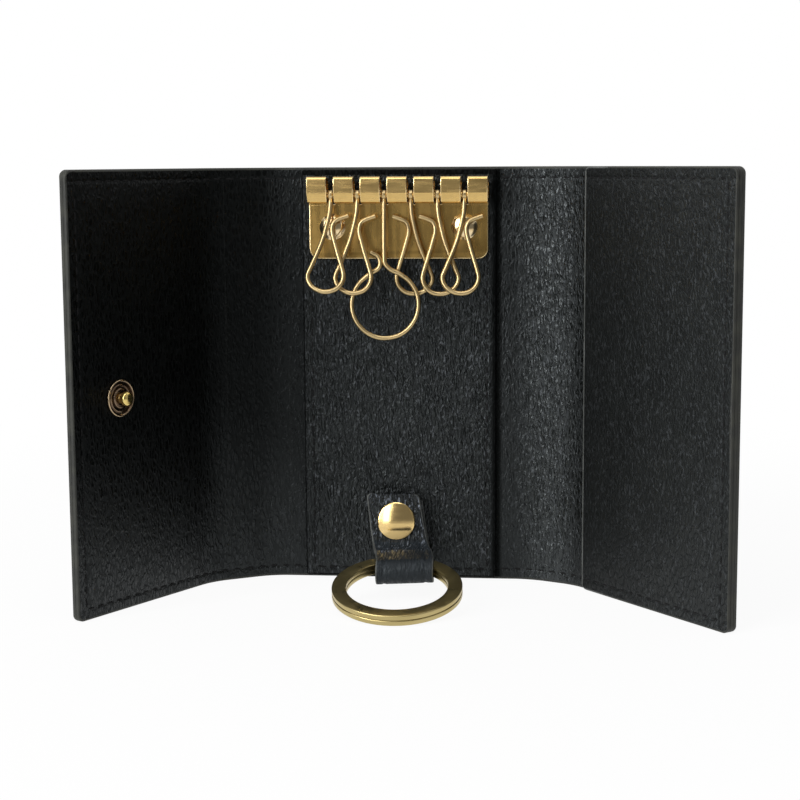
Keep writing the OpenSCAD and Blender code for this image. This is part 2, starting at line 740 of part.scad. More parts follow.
outer_centre();  // outer_back
color([0.09, 0.09, 0.1]) spine(LEFT, outer_t, outer_t);  // outer_left_spine
outer_flap(LEFT);  // outer_left_flap
color([0.09, 0.09, 0.1]) spine(RIGHT, outer_t, outer_t);  // outer_right_spine
outer_flap(RIGHT);  // outer_right_flap
outer_fold(LEFT, false);  // outer_left_back_fold
outer_fold(LEFT, true);  // outer_left_flap_fold
outer_fold(RIGHT, false);  // outer_right_back_fold
outer_fold(RIGHT, true);  // outer_right_flap_fold
lining_centre();  // lining_back
color([0.14, 0.14, 0.15]) spine(LEFT, 0, lining_t);  // lining_left_spine
lining_flap(LEFT);  // lining_left_flap
color([0.14, 0.14, 0.15]) spine(RIGHT, 0, lining_t);  // lining_right_spine
lining_flap(RIGHT);  // lining_right_flap
lining_fold(LEFT, false);  // lining_left_back_fold
lining_fold(LEFT, true);  // lining_left_flap_fold
lining_fold(RIGHT, false);  // lining_right_back_fold
lining_fold(RIGHT, true);  // lining_right_flap_fold
key_panel();
card_pocket();
key_plate();
hook_rod();
plate_rivets();
rivet_washers();
for (number = [1:len(hooks)]) hook(number);
strap_loop();
strap_tab();
strap_cap();
strap_socket();
strap_socket_spring();
strap_stud();
strap_stud_washer();
split_ring();
flap_stud();
flap_stud_washer();
flap_socket();
flap_socket_spring();
flap_socket_tube();
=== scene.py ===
"""Key case standing open: its leathers, thread and brass fittings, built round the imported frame.
Sizes are millimetres until a mesh is made, in the frame's own axes: X right, Y back, Z up.
A distance in front of the seam between the two leathers is called forward, as in the frame."""
import math

import bmesh
import bpy
from mathutils import Matrix, Vector


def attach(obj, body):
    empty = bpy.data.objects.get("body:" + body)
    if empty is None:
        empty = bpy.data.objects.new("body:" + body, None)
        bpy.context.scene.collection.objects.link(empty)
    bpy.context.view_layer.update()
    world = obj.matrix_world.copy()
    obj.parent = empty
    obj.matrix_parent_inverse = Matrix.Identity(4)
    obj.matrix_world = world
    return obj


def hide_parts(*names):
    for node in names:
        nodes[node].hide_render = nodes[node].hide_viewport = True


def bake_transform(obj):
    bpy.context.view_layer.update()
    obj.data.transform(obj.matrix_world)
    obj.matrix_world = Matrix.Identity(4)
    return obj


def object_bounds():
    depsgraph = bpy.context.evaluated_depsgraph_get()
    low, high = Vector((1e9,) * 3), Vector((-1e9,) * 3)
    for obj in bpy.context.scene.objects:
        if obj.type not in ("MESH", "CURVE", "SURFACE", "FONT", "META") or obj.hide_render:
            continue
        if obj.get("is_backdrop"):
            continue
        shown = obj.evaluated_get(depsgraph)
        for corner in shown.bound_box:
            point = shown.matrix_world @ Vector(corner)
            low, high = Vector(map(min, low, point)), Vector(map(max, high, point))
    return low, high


MM = 0.001
LEFT, RIGHT = -1, 1
SIDE_NAME = {LEFT: "left", RIGHT: "right"}

# Leather case
CASE_H = 104
HALF = 33
SPINE_W = {LEFT: 17, RIGHT: 13}
FLAP_W = {LEFT: 47.8, RIGHT: 55.3}
FOLD = {LEFT: math.radians(30.5), RIGHT: math.radians(25.6)}
OUTER_T, LINING_T, STRIP_W, CORNER_R = 1.2, 1, 9, 1.8
PANEL_W, PANEL_T, PANEL_INSET = 48.3, 0.9, 0.6
POCKET_START, POCKET_T = 3.7, 0.7
PANEL_FACE = LINING_T + PANEL_T
# A fold's piece runs on flat this far past its bend, so that its ends meet the panels smoothly
OVERRUN = 0.4
SEAM_IN = 2.7
SEAM_W, SEAM_DEPTH = 0.38, 0.14
STITCH_PITCH, STITCH_L, THREAD_W, THREAD_FLAT, THREAD_IN, THREAD_SINK = 3.1, 2.3, 0.42, 0.7, 0.08, 0.192

# Key plate
PLATE_W, PLATE_T, PLATE_BOTTOM, PLATE_CORNER = 44.6, 0.6, 81.4, 2.5
BARREL_DEPTH, BARREL_H, BARREL_TOP = 5.1, 6.5, 101.7
EYE_W, EYE_SIDE, EYE_T, KNUCKLES = 1.2, 0.26, 0.45, 7
KNUCKLE_W = (PLATE_W - (KNUCKLES - 1) * (EYE_W + 2 * EYE_SIDE)) / KNUCKLES
PITCH = (PLATE_W - KNUCKLE_W) / (KNUCKLES - 1)
ROD_R, ROD_FIT, CURL_T = 0.7, 0.05, 0.55
BARREL_R = BARREL_DEPTH / 2
BARREL_FORWARD = PANEL_FACE + BARREL_R
BARREL_LOW = BARREL_TOP - BARREL_H + BARREL_R
BARREL_HIGH = BARREL_TOP - BARREL_R
ROD_Z = BARREL_LOW - 0.5
SLOT_Z = BARREL_TOP - BARREL_H - 0.3
PLATE_FACE = PANEL_FACE + PLATE_T

# Hooks: points along the wire from the eye on, as shares of the hook's width and, downwards, of its length
WIRE_R, HOOK_L, HOOK_W, BIG_L, BIG_D, FAN = 0.6, 24.4, 8.85, 35.3, 16.6, math.radians(5.3)
SMALL_HOOK = [
    (0, 0.04), (-0.02, 0.186), (-0.11, 0.35), (-0.2, 0.472), (-0.335, 0.603), (-0.485, 0.734),
    (-0.593, 0.84), (-0.508, 0.926), (-0.316, 0.98), (-0.085, 1), (0.17, 0.98), (0.35, 0.92),
    (0.412, 0.836), (0.345, 0.734), (0.232, 0.603), (0.13, 0.476), (0.062, 0.374), (0.09, 0.304),
    (0.198, 0.259), (0.508, 0.217)]
BIG_STEM = [(0, 0.028), (0, 0.25), (0.005, 0.43), (0.02, 0.482), (0.1, 0.521), (0.23, 0.547)]
BIG_TAIL = [(-0.2, 0.547), (-0.085, 0.515), (-0.055, 0.475), (-0.09, 0.43), (-0.2, 0.4)]
BIG_SHIFT, BIG_LOOP_FROM, BIG_LOOP_TO = 0.02, 52, -224.9
# Each hook's steps of the fan, the side that its loop opens to, and whether it is the large one
HOOKS = [(3, 1, False), (2, 1, False), (1, 1, True), (0, -1, False), (1, -1, False), (2, 1, False)]

# Ring and its strap
RING_R, RING_BAND, TURN_T, TURN_GAP, RING_IN_EDGE, RING_OUT_EDGE = 15.5, 3.4, 1.27, 0.06, 0.2, 0.24
RING_X, RING_FORWARD, RING_TILT = 2.2, 33.4, math.radians(13.5)
# Degrees of band, where it starts, and the stretch of it that crosses over to the second turn
RING_RUN, RING_START, CROSS_FROM, CROSS_RUN = 686, 120, 330, 30
RING_T = 2 * TURN_T + TURN_GAP
RING_IN = RING_R - RING_BAND
RING_Z = RING_R * math.sin(RING_TILT) + RING_T / 2 * math.cos(RING_TILT)
STRAP_W, STRAP_T, STRAP_TOP, STRAP_TAPER, STRAP_LEAN = 14, 1.1, 22.6, 0.35, math.radians(7.8)
HINGE_Z, SNAP_X, SNAP_Z = 10.7, -0.6, 15.8
FOLD_R, FOOT_R, BEND_R, RING_CLEAR, SNAP_ROOM = 2, 2.6, 1.6, 0.25, 1.9
FOLD_X, FOLD_RISE, SLANT = 3.2, 0.2, math.radians(3)
LAYER_FORWARD = PANEL_FACE + STRAP_T / 2
TAB_FORWARD = PANEL_FACE + STRAP_T + SNAP_ROOM + STRAP_T / 2

# Cap, rivets and flap stud
CAP_R, CAP_FACE = 4.8, PANEL_FACE + STRAP_T + SNAP_ROOM + STRAP_T
CAP_LEAN = Matrix.Rotation(math.radians(-7), 4, "X")
RIVET_X, RIVET_Z = PLATE_W / 2 - 5.9, BARREL_TOP - BARREL_H - 5.9
STUD_U, STUD_Z = FLAP_W[LEFT] - 15.4, 50.8

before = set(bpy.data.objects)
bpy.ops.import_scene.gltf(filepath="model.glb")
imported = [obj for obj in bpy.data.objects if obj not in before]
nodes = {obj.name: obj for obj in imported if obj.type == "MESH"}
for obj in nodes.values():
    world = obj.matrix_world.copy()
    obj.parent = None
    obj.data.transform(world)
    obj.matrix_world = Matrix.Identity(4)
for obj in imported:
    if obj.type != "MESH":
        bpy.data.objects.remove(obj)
bounds_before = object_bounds()


# ---- shader parts

class Graph:
    """Short calls for adding and joining the nodes of one tree."""

    def __init__(self, tree):
        self.tree = tree

    def node(self, kind, inputs=(), **settings):
        n = self.tree.nodes.new(kind)
        for key, value in settings.items():
            setattr(n, key, value)
        for key, value in dict(inputs).items():
            self.put(n.inputs[key], value)
        return n

    def put(self, target, value):
        if isinstance(value, bpy.types.NodeSocket):
            self.tree.links.new(value, target)
        else:
            target.default_value = value

    def math(self, operation, a, b=0.0):
        return self.node("ShaderNodeMath", {0: a, 1: b}, operation=operation).outputs[0]

    def vector(self, operation, a, b=(0.0, 0.0, 0.0)):
        return self.node("ShaderNodeVectorMath", {0: a, 1: b}, operation=operation).outputs[0]

    def ramp(self, value, low, high, to_low=0.0, to_high=1.0):
        n = self.node("ShaderNodeMapRange", {"Value": value, "From Min": low, "From Max": high,
                                             "To Min": to_low, "To Max": to_high}, interpolation_type="SMOOTHSTEP")
        return n.outputs["Result"]

    def mix(self, share, a, b):
        n = self.node("ShaderNodeMix", data_type="RGBA")
        self.put(n.inputs["Factor"], share)
        self.put(n.inputs["A"], a)
        self.put(n.inputs["B"], b)
        return n.outputs["Result"]

    def noise(self, vector, scale, detail=2.0, rough=0.5):
        return self.node("ShaderNodeTexNoise", {"Vector": vector, "Scale": scale, "Detail": detail,
                                                "Roughness": rough}).outputs["Fac"]

    def place(self):
        """The position on the piece at rest, in metres."""
        return self.node("ShaderNodeTexCoord").outputs["Object"]

    def axes(self, vector):
        return self.node("ShaderNodeSeparateXYZ", {0: vector}).outputs

    def along(self, axis, low, high, to_low=0.0, to_high=1.0):
        """A ramp between two places in millimetres."""
        return self.ramp(axis, low * MM, high * MM, to_low, to_high)


def group(name, inputs, outputs):
    """Starts a node group; gives its graph, its inputs by name and its output node. An input is a number with its
    default, or a direction where that is None; outputs are numbers."""
    tree = bpy.data.node_groups.new(name, "ShaderNodeTree")
    for key, default in inputs.items():
        kind = "NodeSocketVector" if default is None else "NodeSocketFloat"
        s = tree.interface.new_socket(name=key, in_out="INPUT", socket_type=kind)
        if default is not None:
            s.default_value = default
    for key in outputs:
        tree.interface.new_socket(name=key, in_out="OUTPUT", socket_type="NodeSocketFloat")
    g = Graph(tree)
    return g, g.node("NodeGroupInput").outputs, g.node("NodeGroupOutput")


def make_grain():
    """Pebbled leather: tall narrow pebbles, the creases between them and their slow change of height."""
    g, given, out = group("pebbled grain",
                          {"Cell Width": 0.9, "Stretch": 0.4, "Depth": 1.0, "Crease": 0.2, "Waviness": 0.5},
                          ("Height", "Creases", "Tone", "Ridges"))
    place = g.place()
    per_m = g.math("DIVIDE", 1000.0, given["Cell Width"])
    tall = g.node("ShaderNodeCombineXYZ", {0: per_m, 1: g.math("MULTIPLY", per_m, given["Depth"]),
                                           2: g.math("MULTIPLY", per_m, given["Stretch"])})
    cells = g.vector("MULTIPLY", place, tall.outputs[0])
    shift = g.node("ShaderNodeTexNoise", {"Vector": cells, "Scale": 0.6, "Detail": 2.0})
    centred = g.vector("SUBTRACT", shift.outputs["Color"], (0.5, 0.5, 0.5))
    far = g.math("MULTIPLY", given["Waviness"], 2.6)
    amount = g.node("ShaderNodeVectorMath", {0: centred, "Scale": far}, operation="SCALE")
    bent = g.vector("ADD", cells, amount.outputs[0])
    edge, spot = (g.node("ShaderNodeTexVoronoi", {"Vector": bent, "Scale": 1.0}, feature=kind).outputs
                  for kind in ("DISTANCE_TO_EDGE", "F1"))
    raised = g.ramp(edge["Distance"], 0.0, given["Crease"])
    own = g.node("ShaderNodeSeparateColor", {"Color": spot["Color"]}).outputs[0]
    slow = g.noise(cells, 0.16, 3.0)
    broad = g.noise(bent, 1.25, 2.0, 0.55)
    crest = g.ramp(g.noise(g.vector("ADD", bent, (17.3, 5.1, 9.7)), 1.7), 0.54, 0.66)
    body = g.math("MULTIPLY", raised, g.math("ADD", g.math("MULTIPLY", own, 0.5), 0.3))
    height = g.math("ADD", g.math("ADD", body, g.math("MULTIPLY", broad, 1.3)), g.math("MULTIPLY", slow, 0.8))
    g.put(out.inputs["Height"], g.math("ADD", height, g.math("MULTIPLY", crest, 0.45)))
    g.put(out.inputs["Creases"], g.math("SUBTRACT", 1.0, raised))
    g.put(out.inputs["Tone"], slow)
    g.put(out.inputs["Ridges"], g.math("MULTIPLY", crest, g.ramp(own, 0.1, 0.7, 0.35, 1.0)))
    return g.tree


def make_streaks():
    """Fine brushed lines and slow smudges on sheet metal and wire."""
    g, given, out = group("brushed streaks", {"Along X": 1.0, "Along Y": 1.0, "Along Z": 1.0, "Smudge Size": 4.0},
                          ("Lines", "Smudges"))
    place = g.place()
    scale = g.node("ShaderNodeCombineXYZ", {0: given["Along X"], 1: given["Along Y"], 2: given["Along Z"]})
    g.put(out.inputs["Lines"], g.noise(g.vector("MULTIPLY", place, scale.outputs[0]), 1000.0, 3.0, 0.6))
    g.put(out.inputs["Smudges"], g.noise(place, g.math("DIVIDE", 1000.0, given["Smudge Size"]), 3.0, 0.55))
    return g.tree


def make_rubbed():
    """Wear on edges that stand proud, from how sharply the surface turns."""
    g, given, out = group("rubbed edges", {"From": 0.52, "To": 0.62, "Patchiness": 0.5}, ("Worn",))
    turn = g.node("ShaderNodeNewGeometry").outputs["Pointiness"]
    edge = g.ramp(turn, given["From"], given["To"])
    patch = g.ramp(g.noise(g.place(), 900.0, 3.0), 0.35, 0.65)
    even = g.math("SUBTRACT", 1.0, given["Patchiness"])
    patchy = g.math("ADD", even, g.math("MULTIPLY", patch, given["Patchiness"]))
    g.put(out.inputs["Worn"], g.math("MULTIPLY", edge, patchy))
    return g.tree


GRAIN, STREAKS, RUBBED = make_grain(), make_streaks(), make_rubbed()


def material(name):
    """An empty material with one Principled shader; gives the material, its graph and the shader."""
    m = bpy.data.materials.new(name)
    m.use_nodes = True
    m.node_tree.nodes.clear()
    g = Graph(m.node_tree)
    shader = g.node("ShaderNodeBsdfPrincipled")
    g.node("ShaderNodeOutputMaterial", {"Surface": shader.outputs[0]})
    return m, g, shader


def use(g, tree, **inputs):
    """Puts a node group into a tree; gives its outputs."""
    n = g.node("ShaderNodeGroup", node_tree=tree)
    for key, value in inputs.items():
        g.put(n.inputs[key.replace("_", " ")], value)
    return n.outputs


# Shares of the painted light and shade: all of it, on the left flap, on either side of the right spine's bright middle,
# and the level below which the grain lies flat and dark, drawn out flat on the strap and in painted shade on the
# lining; then how much painted shadow the gap beside the key panel takes
FULL_PAINTED_LIGHT, FLAP_PAINTED_LIGHT, SPINE_PAINTED_LIGHT, FOLD_PAINTED_LIGHT, FLAT_GRAIN_AND_PAINTED_SHADE, GAP_PAINTED_SHADE = 1.1, 0.36, 0.48, 0.42, 0.3, 0.84
PANEL_EDGE = PANEL_W / 2


def painted_light_lining(g, at):
    """Painted light and shade on the lining's grain: less and less light on the left, lighter towards the bottom on the
    left, a painted highlight most in the middle of the right spine, and a painted shadow in the gap beside the key
    panel."""
    across = g.math("MAXIMUM", g.along(at["X"], -55, 12, FLAP_PAINTED_LIGHT, FULL_PAINTED_LIGHT),
                    g.along(at["Z"], 56, 8, FLAP_PAINTED_LIGHT, FULL_PAINTED_LIGHT))
    band = g.math("MULTIPLY", g.along(at["X"], 28, 37.5, SPINE_PAINTED_LIGHT, 1.0), g.along(at["X"], 45.5, 39, FOLD_PAINTED_LIGHT, 0.95))
    gap = g.math("MULTIPLY", g.along(at["X"], PANEL_EDGE - 0.65, PANEL_EDGE - 0.15),
                 g.along(at["X"], PANEL_EDGE + 1.95, PANEL_EDGE + 0.65, 0.0, GAP_PAINTED_SHADE))
    return g.math("MULTIPLY", g.math("MULTIPLY", across, band), g.math("SUBTRACT", 1.0, gap))


def painted_shade_panel(g, at):
    """Painted shade: the key panel darkens towards its right edge, outside the seam."""
    return g.along(at["X"], PANEL_EDGE - 0.35, PANEL_EDGE - 2.05, 0.15, 1.0)


def painted_light_pocket(g, at):
    """Painted light: more light towards the pocket's outer end."""
    return g.along(at["X"], 44, 80, 0.58, 1.0)


def lit_strap(g, at):
    """The strap's grain is drawn out flat where the strap is folded tight."""
    return g.along(at["Y"], -20.5, -18.5)


def strap_gloss_and_painted_sheen(g, at):
    """Share of the gloss that is left: the strap's upper run, under the cap, has none, and there its base takes a
    lighter bluish colour, a painted sheen.
    """
    return g.math("MAXIMUM", g.along(at["Y"], -8.5, -6.4), g.along(at["Y"], -17.5, -20.5, 0.0, 0.55))


def leather(name, base, light, rough, bump, cell=0.9, stretch=0.36, crease=0.2, depth=1.0, specular=0.4, ridges=0.5,
            painted_light_and_flat_grain=None, gloss_and_painted_sheen=None):
    """Black grained leather: base is the colour of its pebbles. The lighter colour on the ridges is a painted highlight
    standing for their glints, and the creases are painted darker, painted shade. The mask of painted light and flat
    grain gives 1 where the grain stands full, the flat level where it lies flat and dark, and 0 in full painted shade;
    the gloss mask gives the gloss where it doesn't go with that, and a painted sheen where that gloss is gone."""
    m, g, shader = material(name)
    grain = use(g, GRAIN, Cell_Width=cell, Stretch=stretch, Crease=crease, Depth=depth)
    worn = use(g, RUBBED)
    dark = tuple(c * 0.4 for c in base)
    toned = g.mix(g.ramp(grain["Tone"], 0.35, 0.65), (*base, 1), (*[c * 1.7 for c in base], 1))
    # The creases are painted darker: painted shade
    sunk = g.mix(grain["Creases"], toned, (*dark, 1))
    share, strength = ridges, bump
    shader.inputs["Specular IOR Level"].default_value = specular
    shader.inputs["Specular Tint"].default_value = (0.89, 0.97, 1.0, 1)
    if painted_light_and_flat_grain:
        at = g.axes(g.place())
        mask = painted_light_and_flat_grain(g, at)
        # Where the mask is low the base is painted dark and the ridges' painted highlight, the bump and the gloss fade:
        # painted shade
        sunk = g.mix(g.ramp(mask, FLAT_GRAIN_AND_PAINTED_SHADE, 1.0), (*dark, 1), sunk)
        share = g.ramp(mask, FLAT_GRAIN_AND_PAINTED_SHADE, 1.0, ridges * 0.06, ridges)
        strength = g.ramp(mask, FLAT_GRAIN_AND_PAINTED_SHADE, 1.0, bump * 0.35, bump)
        gloss = mask
        if gloss_and_painted_sheen:
            gloss = gloss_and_painted_sheen(g, at)
            # Where the gloss is gone the base takes that lighter bluish colour: a painted sheen
            sunk = g.mix(gloss, STRAP_RUN_PAINTED_SHEEN, sunk)
        g.put(shader.inputs["Specular IOR Level"], g.math("MULTIPLY", gloss, specular))
    # The ridges take a lighter colour: a painted highlight
    ridged = g.mix(g.math("MULTIPLY", grain["Ridges"], share), sunk, (*light, 1))
    g.put(shader.inputs["Base Color"], g.mix(g.math("MULTIPLY", worn["Worn"], 0.6), ridged, RUBBED_LEATHER))
    g.put(shader.inputs["Roughness"], g.ramp(grain["Creases"], 0.0, 1.0, rough, min(1, rough + 0.3)))
    high = g.node("ShaderNodeBump", {"Height": grain["Height"], "Strength": strength, "Distance": 0.32 * MM})
    g.put(shader.inputs["Normal"], high.outputs[0])
    return m


def edge_paint(name, dark, pale):
    """Paint on cut edges, in patches of two tones."""
    m, g, shader = material(name)
    place = g.place()
    patch = g.noise(place, 260.0, 4.0)
    g.put(shader.inputs["Base Color"], g.mix(g.ramp(patch, 0.35, 0.7), (*dark, 1), (*pale, 1)))
    g.put(shader.inputs["Roughness"], g.ramp(patch, 0.3, 0.7, 0.42, 0.6))
    shader.inputs["Specular IOR Level"].default_value = 0.3
    high = g.node("ShaderNodeBump", {"Height": g.noise(place, 900.0, 3.0), "Strength": 0.25, "Distance": 0.0002})
    g.put(shader.inputs["Normal"], high.outputs[0])
    return m


def thread_finish():
    """Black twisted thread."""
    m, g, shader = material("sewing_thread")
    twist = g.node("ShaderNodeTexWave", {"Vector": g.place(), "Scale": 1400.0, "Distortion": 1.0},
                   bands_direction="DIAGONAL").outputs["Fac"]
    g.put(shader.inputs["Base Color"], g.mix(twist, (0.002, 0.002, 0.002, 1), (0.008, 0.008, 0.0085, 1)))
    shader.inputs["Roughness"].default_value = 0.75
    shader.inputs["Specular IOR Level"].default_value = 0.2
    high = g.node("ShaderNodeBump", {"Height": twist, "Strength": 0.5, "Distance": 0.0001})
    g.put(shader.inputs["Normal"], high.outputs[0])
    return m


def metal(name, colour, smudged, rough, along=(1, 1, 1), smudge=4.0, bump=0.02, wear=None, lines_share=0.1,
          painted_reflection_below=None):
    """Brass or steel, brushed along an axis where its number is small. Below a given height its metallic share drops,
    and its
    colour shows there as diffuse light: a painted reflection."""
    m, g, shader = material(name)
    lines = use(g, STREAKS, Along_X=along[0], Along_Y=along[1], Along_Z=along[2], Smudge_Size=smudge)
    worn = use(g, RUBBED, From=0.515, To=0.56, Patchiness=0.25)
    toned = g.mix(g.ramp(lines["Smudges"], 0.35, 0.68), (*colour, 1), (*smudged, 1))
    lined = g.mix(g.math("MULTIPLY", g.ramp(lines["Lines"], 0.35, 0.7), lines_share), toned, (*smudged, 1))
    bright = wear or [min(1, c * 1.25) for c in colour]
    g.put(shader.inputs["Base Color"], g.mix(worn["Worn"], lined, (*bright, 1)))
    shader.inputs["Metallic"].default_value = 1.0
    # Below that height the colour shows as diffuse light: a painted reflection
    if painted_reflection_below:
        height = g.axes(g.place())["Z"]
        g.put(shader.inputs["Metallic"], g.along(height, painted_reflection_below - 0.5, painted_reflection_below, 0.25, 1.0))
    g.put(shader.inputs["Roughness"], g.ramp(lines["Lines"], 0.25, 0.75, rough - 0.06, rough + 0.06))
    high = g.node("ShaderNodeBump", {"Height": lines["Lines"], "Strength": bump, "Distance": 0.0001})
    g.put(shader.inputs["Normal"], high.outputs[0])
    return m


# Colour of the ridges: a painted highlight standing for their bluish glints
RIDGE_PAINTED_GLINT = (0.115, 0.125, 0.137)
RUBBED_LEATHER = (0.06, 0.06, 0.055, 1)
# Lighter bluish colour of the strap's upper run: a painted sheen
STRAP_RUN_PAINTED_SHEEN = (0.027, 0.0325, 0.038, 1)
LINING = leather("lining_leather", (0.0026, 0.0031, 0.0025), RIDGE_PAINTED_GLINT, 0.27, 1.0, specular=0.63, ridges=0.4,
                 painted_light_and_flat_grain=painted_light_lining)
OUTER = leather("outer_leather", (0.0045, 0.0045, 0.0045), (0.05, 0.052, 0.055), 0.45, 0.7)
PANEL = leather("panel_leather", (0.0026, 0.0031, 0.0026), RIDGE_PAINTED_GLINT, 0.28, 1.0, specular=0.36, ridges=0.42,
                painted_light_and_flat_grain=painted_shade_panel)
POCKET = leather("pocket_leather", (0.0048, 0.0053, 0.0049), RIDGE_PAINTED_GLINT, 0.44, 0.6, cell=1.0, stretch=0.5,
                 crease=0.14, specular=0.29, ridges=0.19, painted_light_and_flat_grain=painted_light_pocket)
# The strap's ridges are painted lighter still: a painted highlight
STRAP = leather("strap_leather", (0.005, 0.0056, 0.0056), (0.17575, 0.198, 0.2332), 0.38, 1.0, cell=0.85, depth=0.14,
                specular=0.35, ridges=0.86, painted_light_and_flat_grain=lit_strap, gloss_and_painted_sheen=strap_gloss_and_painted_sheen)
# Very dark leather on the key panel's edges: painted shade
PANEL_EDGE_PAINTED_SHADE = leather("panel_edge_painted_shade", (0.0015, 0.0015, 0.0015), (0.012, 0.012, 0.012), 0.7, 0.3, specular=0.1,
              ridges=0.2)
PAINT = edge_paint("edge_paint", (0.02, 0.021, 0.0185), (0.034, 0.035, 0.028))
# Lighter paint on the pocket's cut end and the strap's sides: a painted highlight
CUT_EDGE_PAINTED_HIGHLIGHT = edge_paint("cut_edge_painted_highlight", (0.05, 0.053, 0.05), (0.085, 0.089, 0.085))
THREAD = thread_finish()
PLATE = metal("plate_brass", (0.43, 0.275, 0.085), (0.36, 0.22, 0.062), 0.27, along=(0.5, 0.5, 0.08), bump=0.012,
              smudge=9.0)
ROLLED = {"along": (0.1, 1.0, 1.0), "bump": 0.014, "lines_share": 0.12, "smudge": 6.0}
KNUCKLE = metal("knuckle_brass", (0.72, 0.5, 0.195), (0.64, 0.43, 0.16), 0.25, **ROLLED)
# Darker copy of the knuckle brass on the flat band below the knuckles: painted shade
KNUCKLE_BAND_PAINTED_SHADE = metal("knuckle_band_painted_shade", (0.58, 0.4, 0.15), (0.5, 0.34, 0.125), 0.27, **ROLLED)
# Lighter brass on the bevelled rims: partly polished wear, partly a painted highlight
RIM_WEAR_AND_HIGHLIGHT = metal("rim_brass_wear_and_highlight", (0.76, 0.6, 0.33), (0.68, 0.51, 0.25), 0.25)
WIRE_TONE = (0.58, 0.44, 0.225)
WIRE = metal("wire_brass", WIRE_TONE, (0.51, 0.375, 0.18), 0.33, smudge=14.0, bump=0.004, wear=WIRE_TONE,
             lines_share=0.04)
DOME = metal("cap_brass", (0.78, 0.57, 0.25), (0.72, 0.51, 0.21), 0.2, along=(0.08, 1, 2.5), smudge=9.0,
             # The cap's lower part turns mostly non-metallic below a height: a painted reflection of the bright floor
             painted_reflection_below=13.8)
RIVET = metal("rivet_brass", (0.86, 0.7, 0.44), (0.74, 0.54, 0.27), 0.16, smudge=1.8)
RING_TONE = (0.52, 0.425, 0.2)
RING = metal("ring_brass", RING_TONE, (0.45, 0.36, 0.155), 0.33, along=(0.5, 0.5, 2.0), smudge=14.0, bump=0.008,
             wear=RING_TONE, lines_share=0.05)
STUD = metal("stud_brass", (0.72, 0.56, 0.2), (0.6, 0.44, 0.15), 0.22, smudge=3.0, bump=0.01)
DISH = metal("dish_brass", (0.15, 0.1, 0.065), (0.085, 0.055, 0.038), 0.2, smudge=3.0, bump=0.01,
             wear=(0.5, 0.38, 0.24))
SET_BRASS = metal("set_brass", (0.55, 0.4, 0.18), (0.45, 0.32, 0.13), 0.34, bump=0.06, lines_share=0.35)
STEEL = metal("spring_steel", (0.56, 0.57, 0.58), (0.42, 0.43, 0.44), 0.3, bump=0.06, lines_share=0.35)


# ---- mesh parts

def solid(name, points, faces, finishes, zones=None, sharp=42):
    """A closed mesh from points in millimetres; zones gives each face's finish by number."""
    mesh = bpy.data.meshes.new(name)
    mesh.from_pydata([Vector(p) * MM for p in points], [], faces)
    for f in finishes:
        mesh.materials.append(f)
    if zones:
        mesh.polygons.foreach_set("material_index", zones)
    b = bmesh.new()
    b.from_mesh(mesh)
    bmesh.ops.recalc_face_normals(b, faces=b.faces)
    b.to_mesh(mesh)
    b.free()
    mesh.polygons.foreach_set("use_smooth", [True] * len(mesh.polygons))
    mesh.set_sharp_from_angle(angle=math.radians(sharp))
    mesh.update()
    piece = bpy.data.objects.new(name, mesh)
    bpy.context.scene.collection.objects.link(piece)
    return piece


def skin(rings, zone=lambda i, k: 0, closed=False):
    """Faces over a row of equal rings, with flat ends or closed on itself. zone gives a face's finish from its place
    along the row and round the ring; the flat ends are at place -1 of the first and last ring."""
    n, m = len(rings), len(rings[0])
    faces, zones = [], []
    for i in range(n if closed else n - 1):
        for k in range(m):
            a, b = i * m, (i + 1) % n * m
            faces.append([a + k, b + k, b + (k + 1) % m, a + (k + 1) % m])
            zones.append(zone(i, k))
    if not closed:
        faces += [list(range(m)), [(n - 1) * m + k for k in reversed(range(m))]]
        zones += [zone(0, -1), zone(n - 1, -1)]
    return [p for r in rings for p in r], faces, zones


def join(*parts):
    """Several skins as one."""
    points, faces, zones = [], [], []
    for p, f, z in parts:
        faces += [[len(points) + k for k in face] for face in f]
        points += p
        zones += z
    return points, faces, zones


def hang(piece, body, replaced=None):
    """Says what body a piece rides, and what part of the frame it stands for."""
    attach(piece, body)
    if replaced:
        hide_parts(replaced)


def span(low, high, step):
    """Even places from low to high, about a step apart."""
    n = max(1, round((high - low) / step))
    return [low + (high - low) * i / n for i in range(n + 1)]


def arc(centre, r, start, end, n):
    """Points on a circle from one angle in degrees to another, in n steps."""
    turns = [math.radians(start + (end - start) * i / n) for i in range(n + 1)]
    return [(centre[0] + r * math.cos(a), centre[1] + r * math.sin(a)) for a in turns]


def circle(centre, r, n=24):
    return arc(centre, r, 0, 360 - 360 / n, n - 1)


def around(n):
    """Angles of a whole turn."""
    return [math.tau * k / n for k in range(n)]


def rounding(r, d):
    """How far a rounded edge of radius r lies inside its corner, at a distance d from the end."""
    return r - math.sqrt(r ** 2 - (r - d) ** 2) if d < r else 0


def smooth(p, n):
    """A smooth line through the points, n steps from each to the next."""
    line = []
    for i in range(len(p) - 1):
        a, b, c, d = (Vector(p[k]) for k in (max(i - 1, 0), i, i + 1, min(i + 2, len(p) - 1)))
        for j in range(n):
            t = j / n
            line.append((2 * b + (c - a) * t + (2 * a - 5 * b + 4 * c - d) * t * t
                         + (3 * b - a - 3 * c + d) * t ** 3) / 2)
    return [tuple(q) for q in line] + [tuple(p[-1])]


def heading(line, i):
    """Direction of a line at one of its points."""
    return (Vector(line[min(i + 1, len(line) - 1)]) - Vector(line[max(i - 1, 0)])).normalized()


# ---- places on the case

def outwards(side, turn):
    """Direction along a panel that is turned forward by an angle, away from the case's middle."""
    return Vector((side * math.cos(turn), -math.sin(turn), 0))


def inwards(side, turn):
    """Direction out of such a panel's face."""
    return Vector((-side * math.sin(turn), -math.cos(turn), 0))


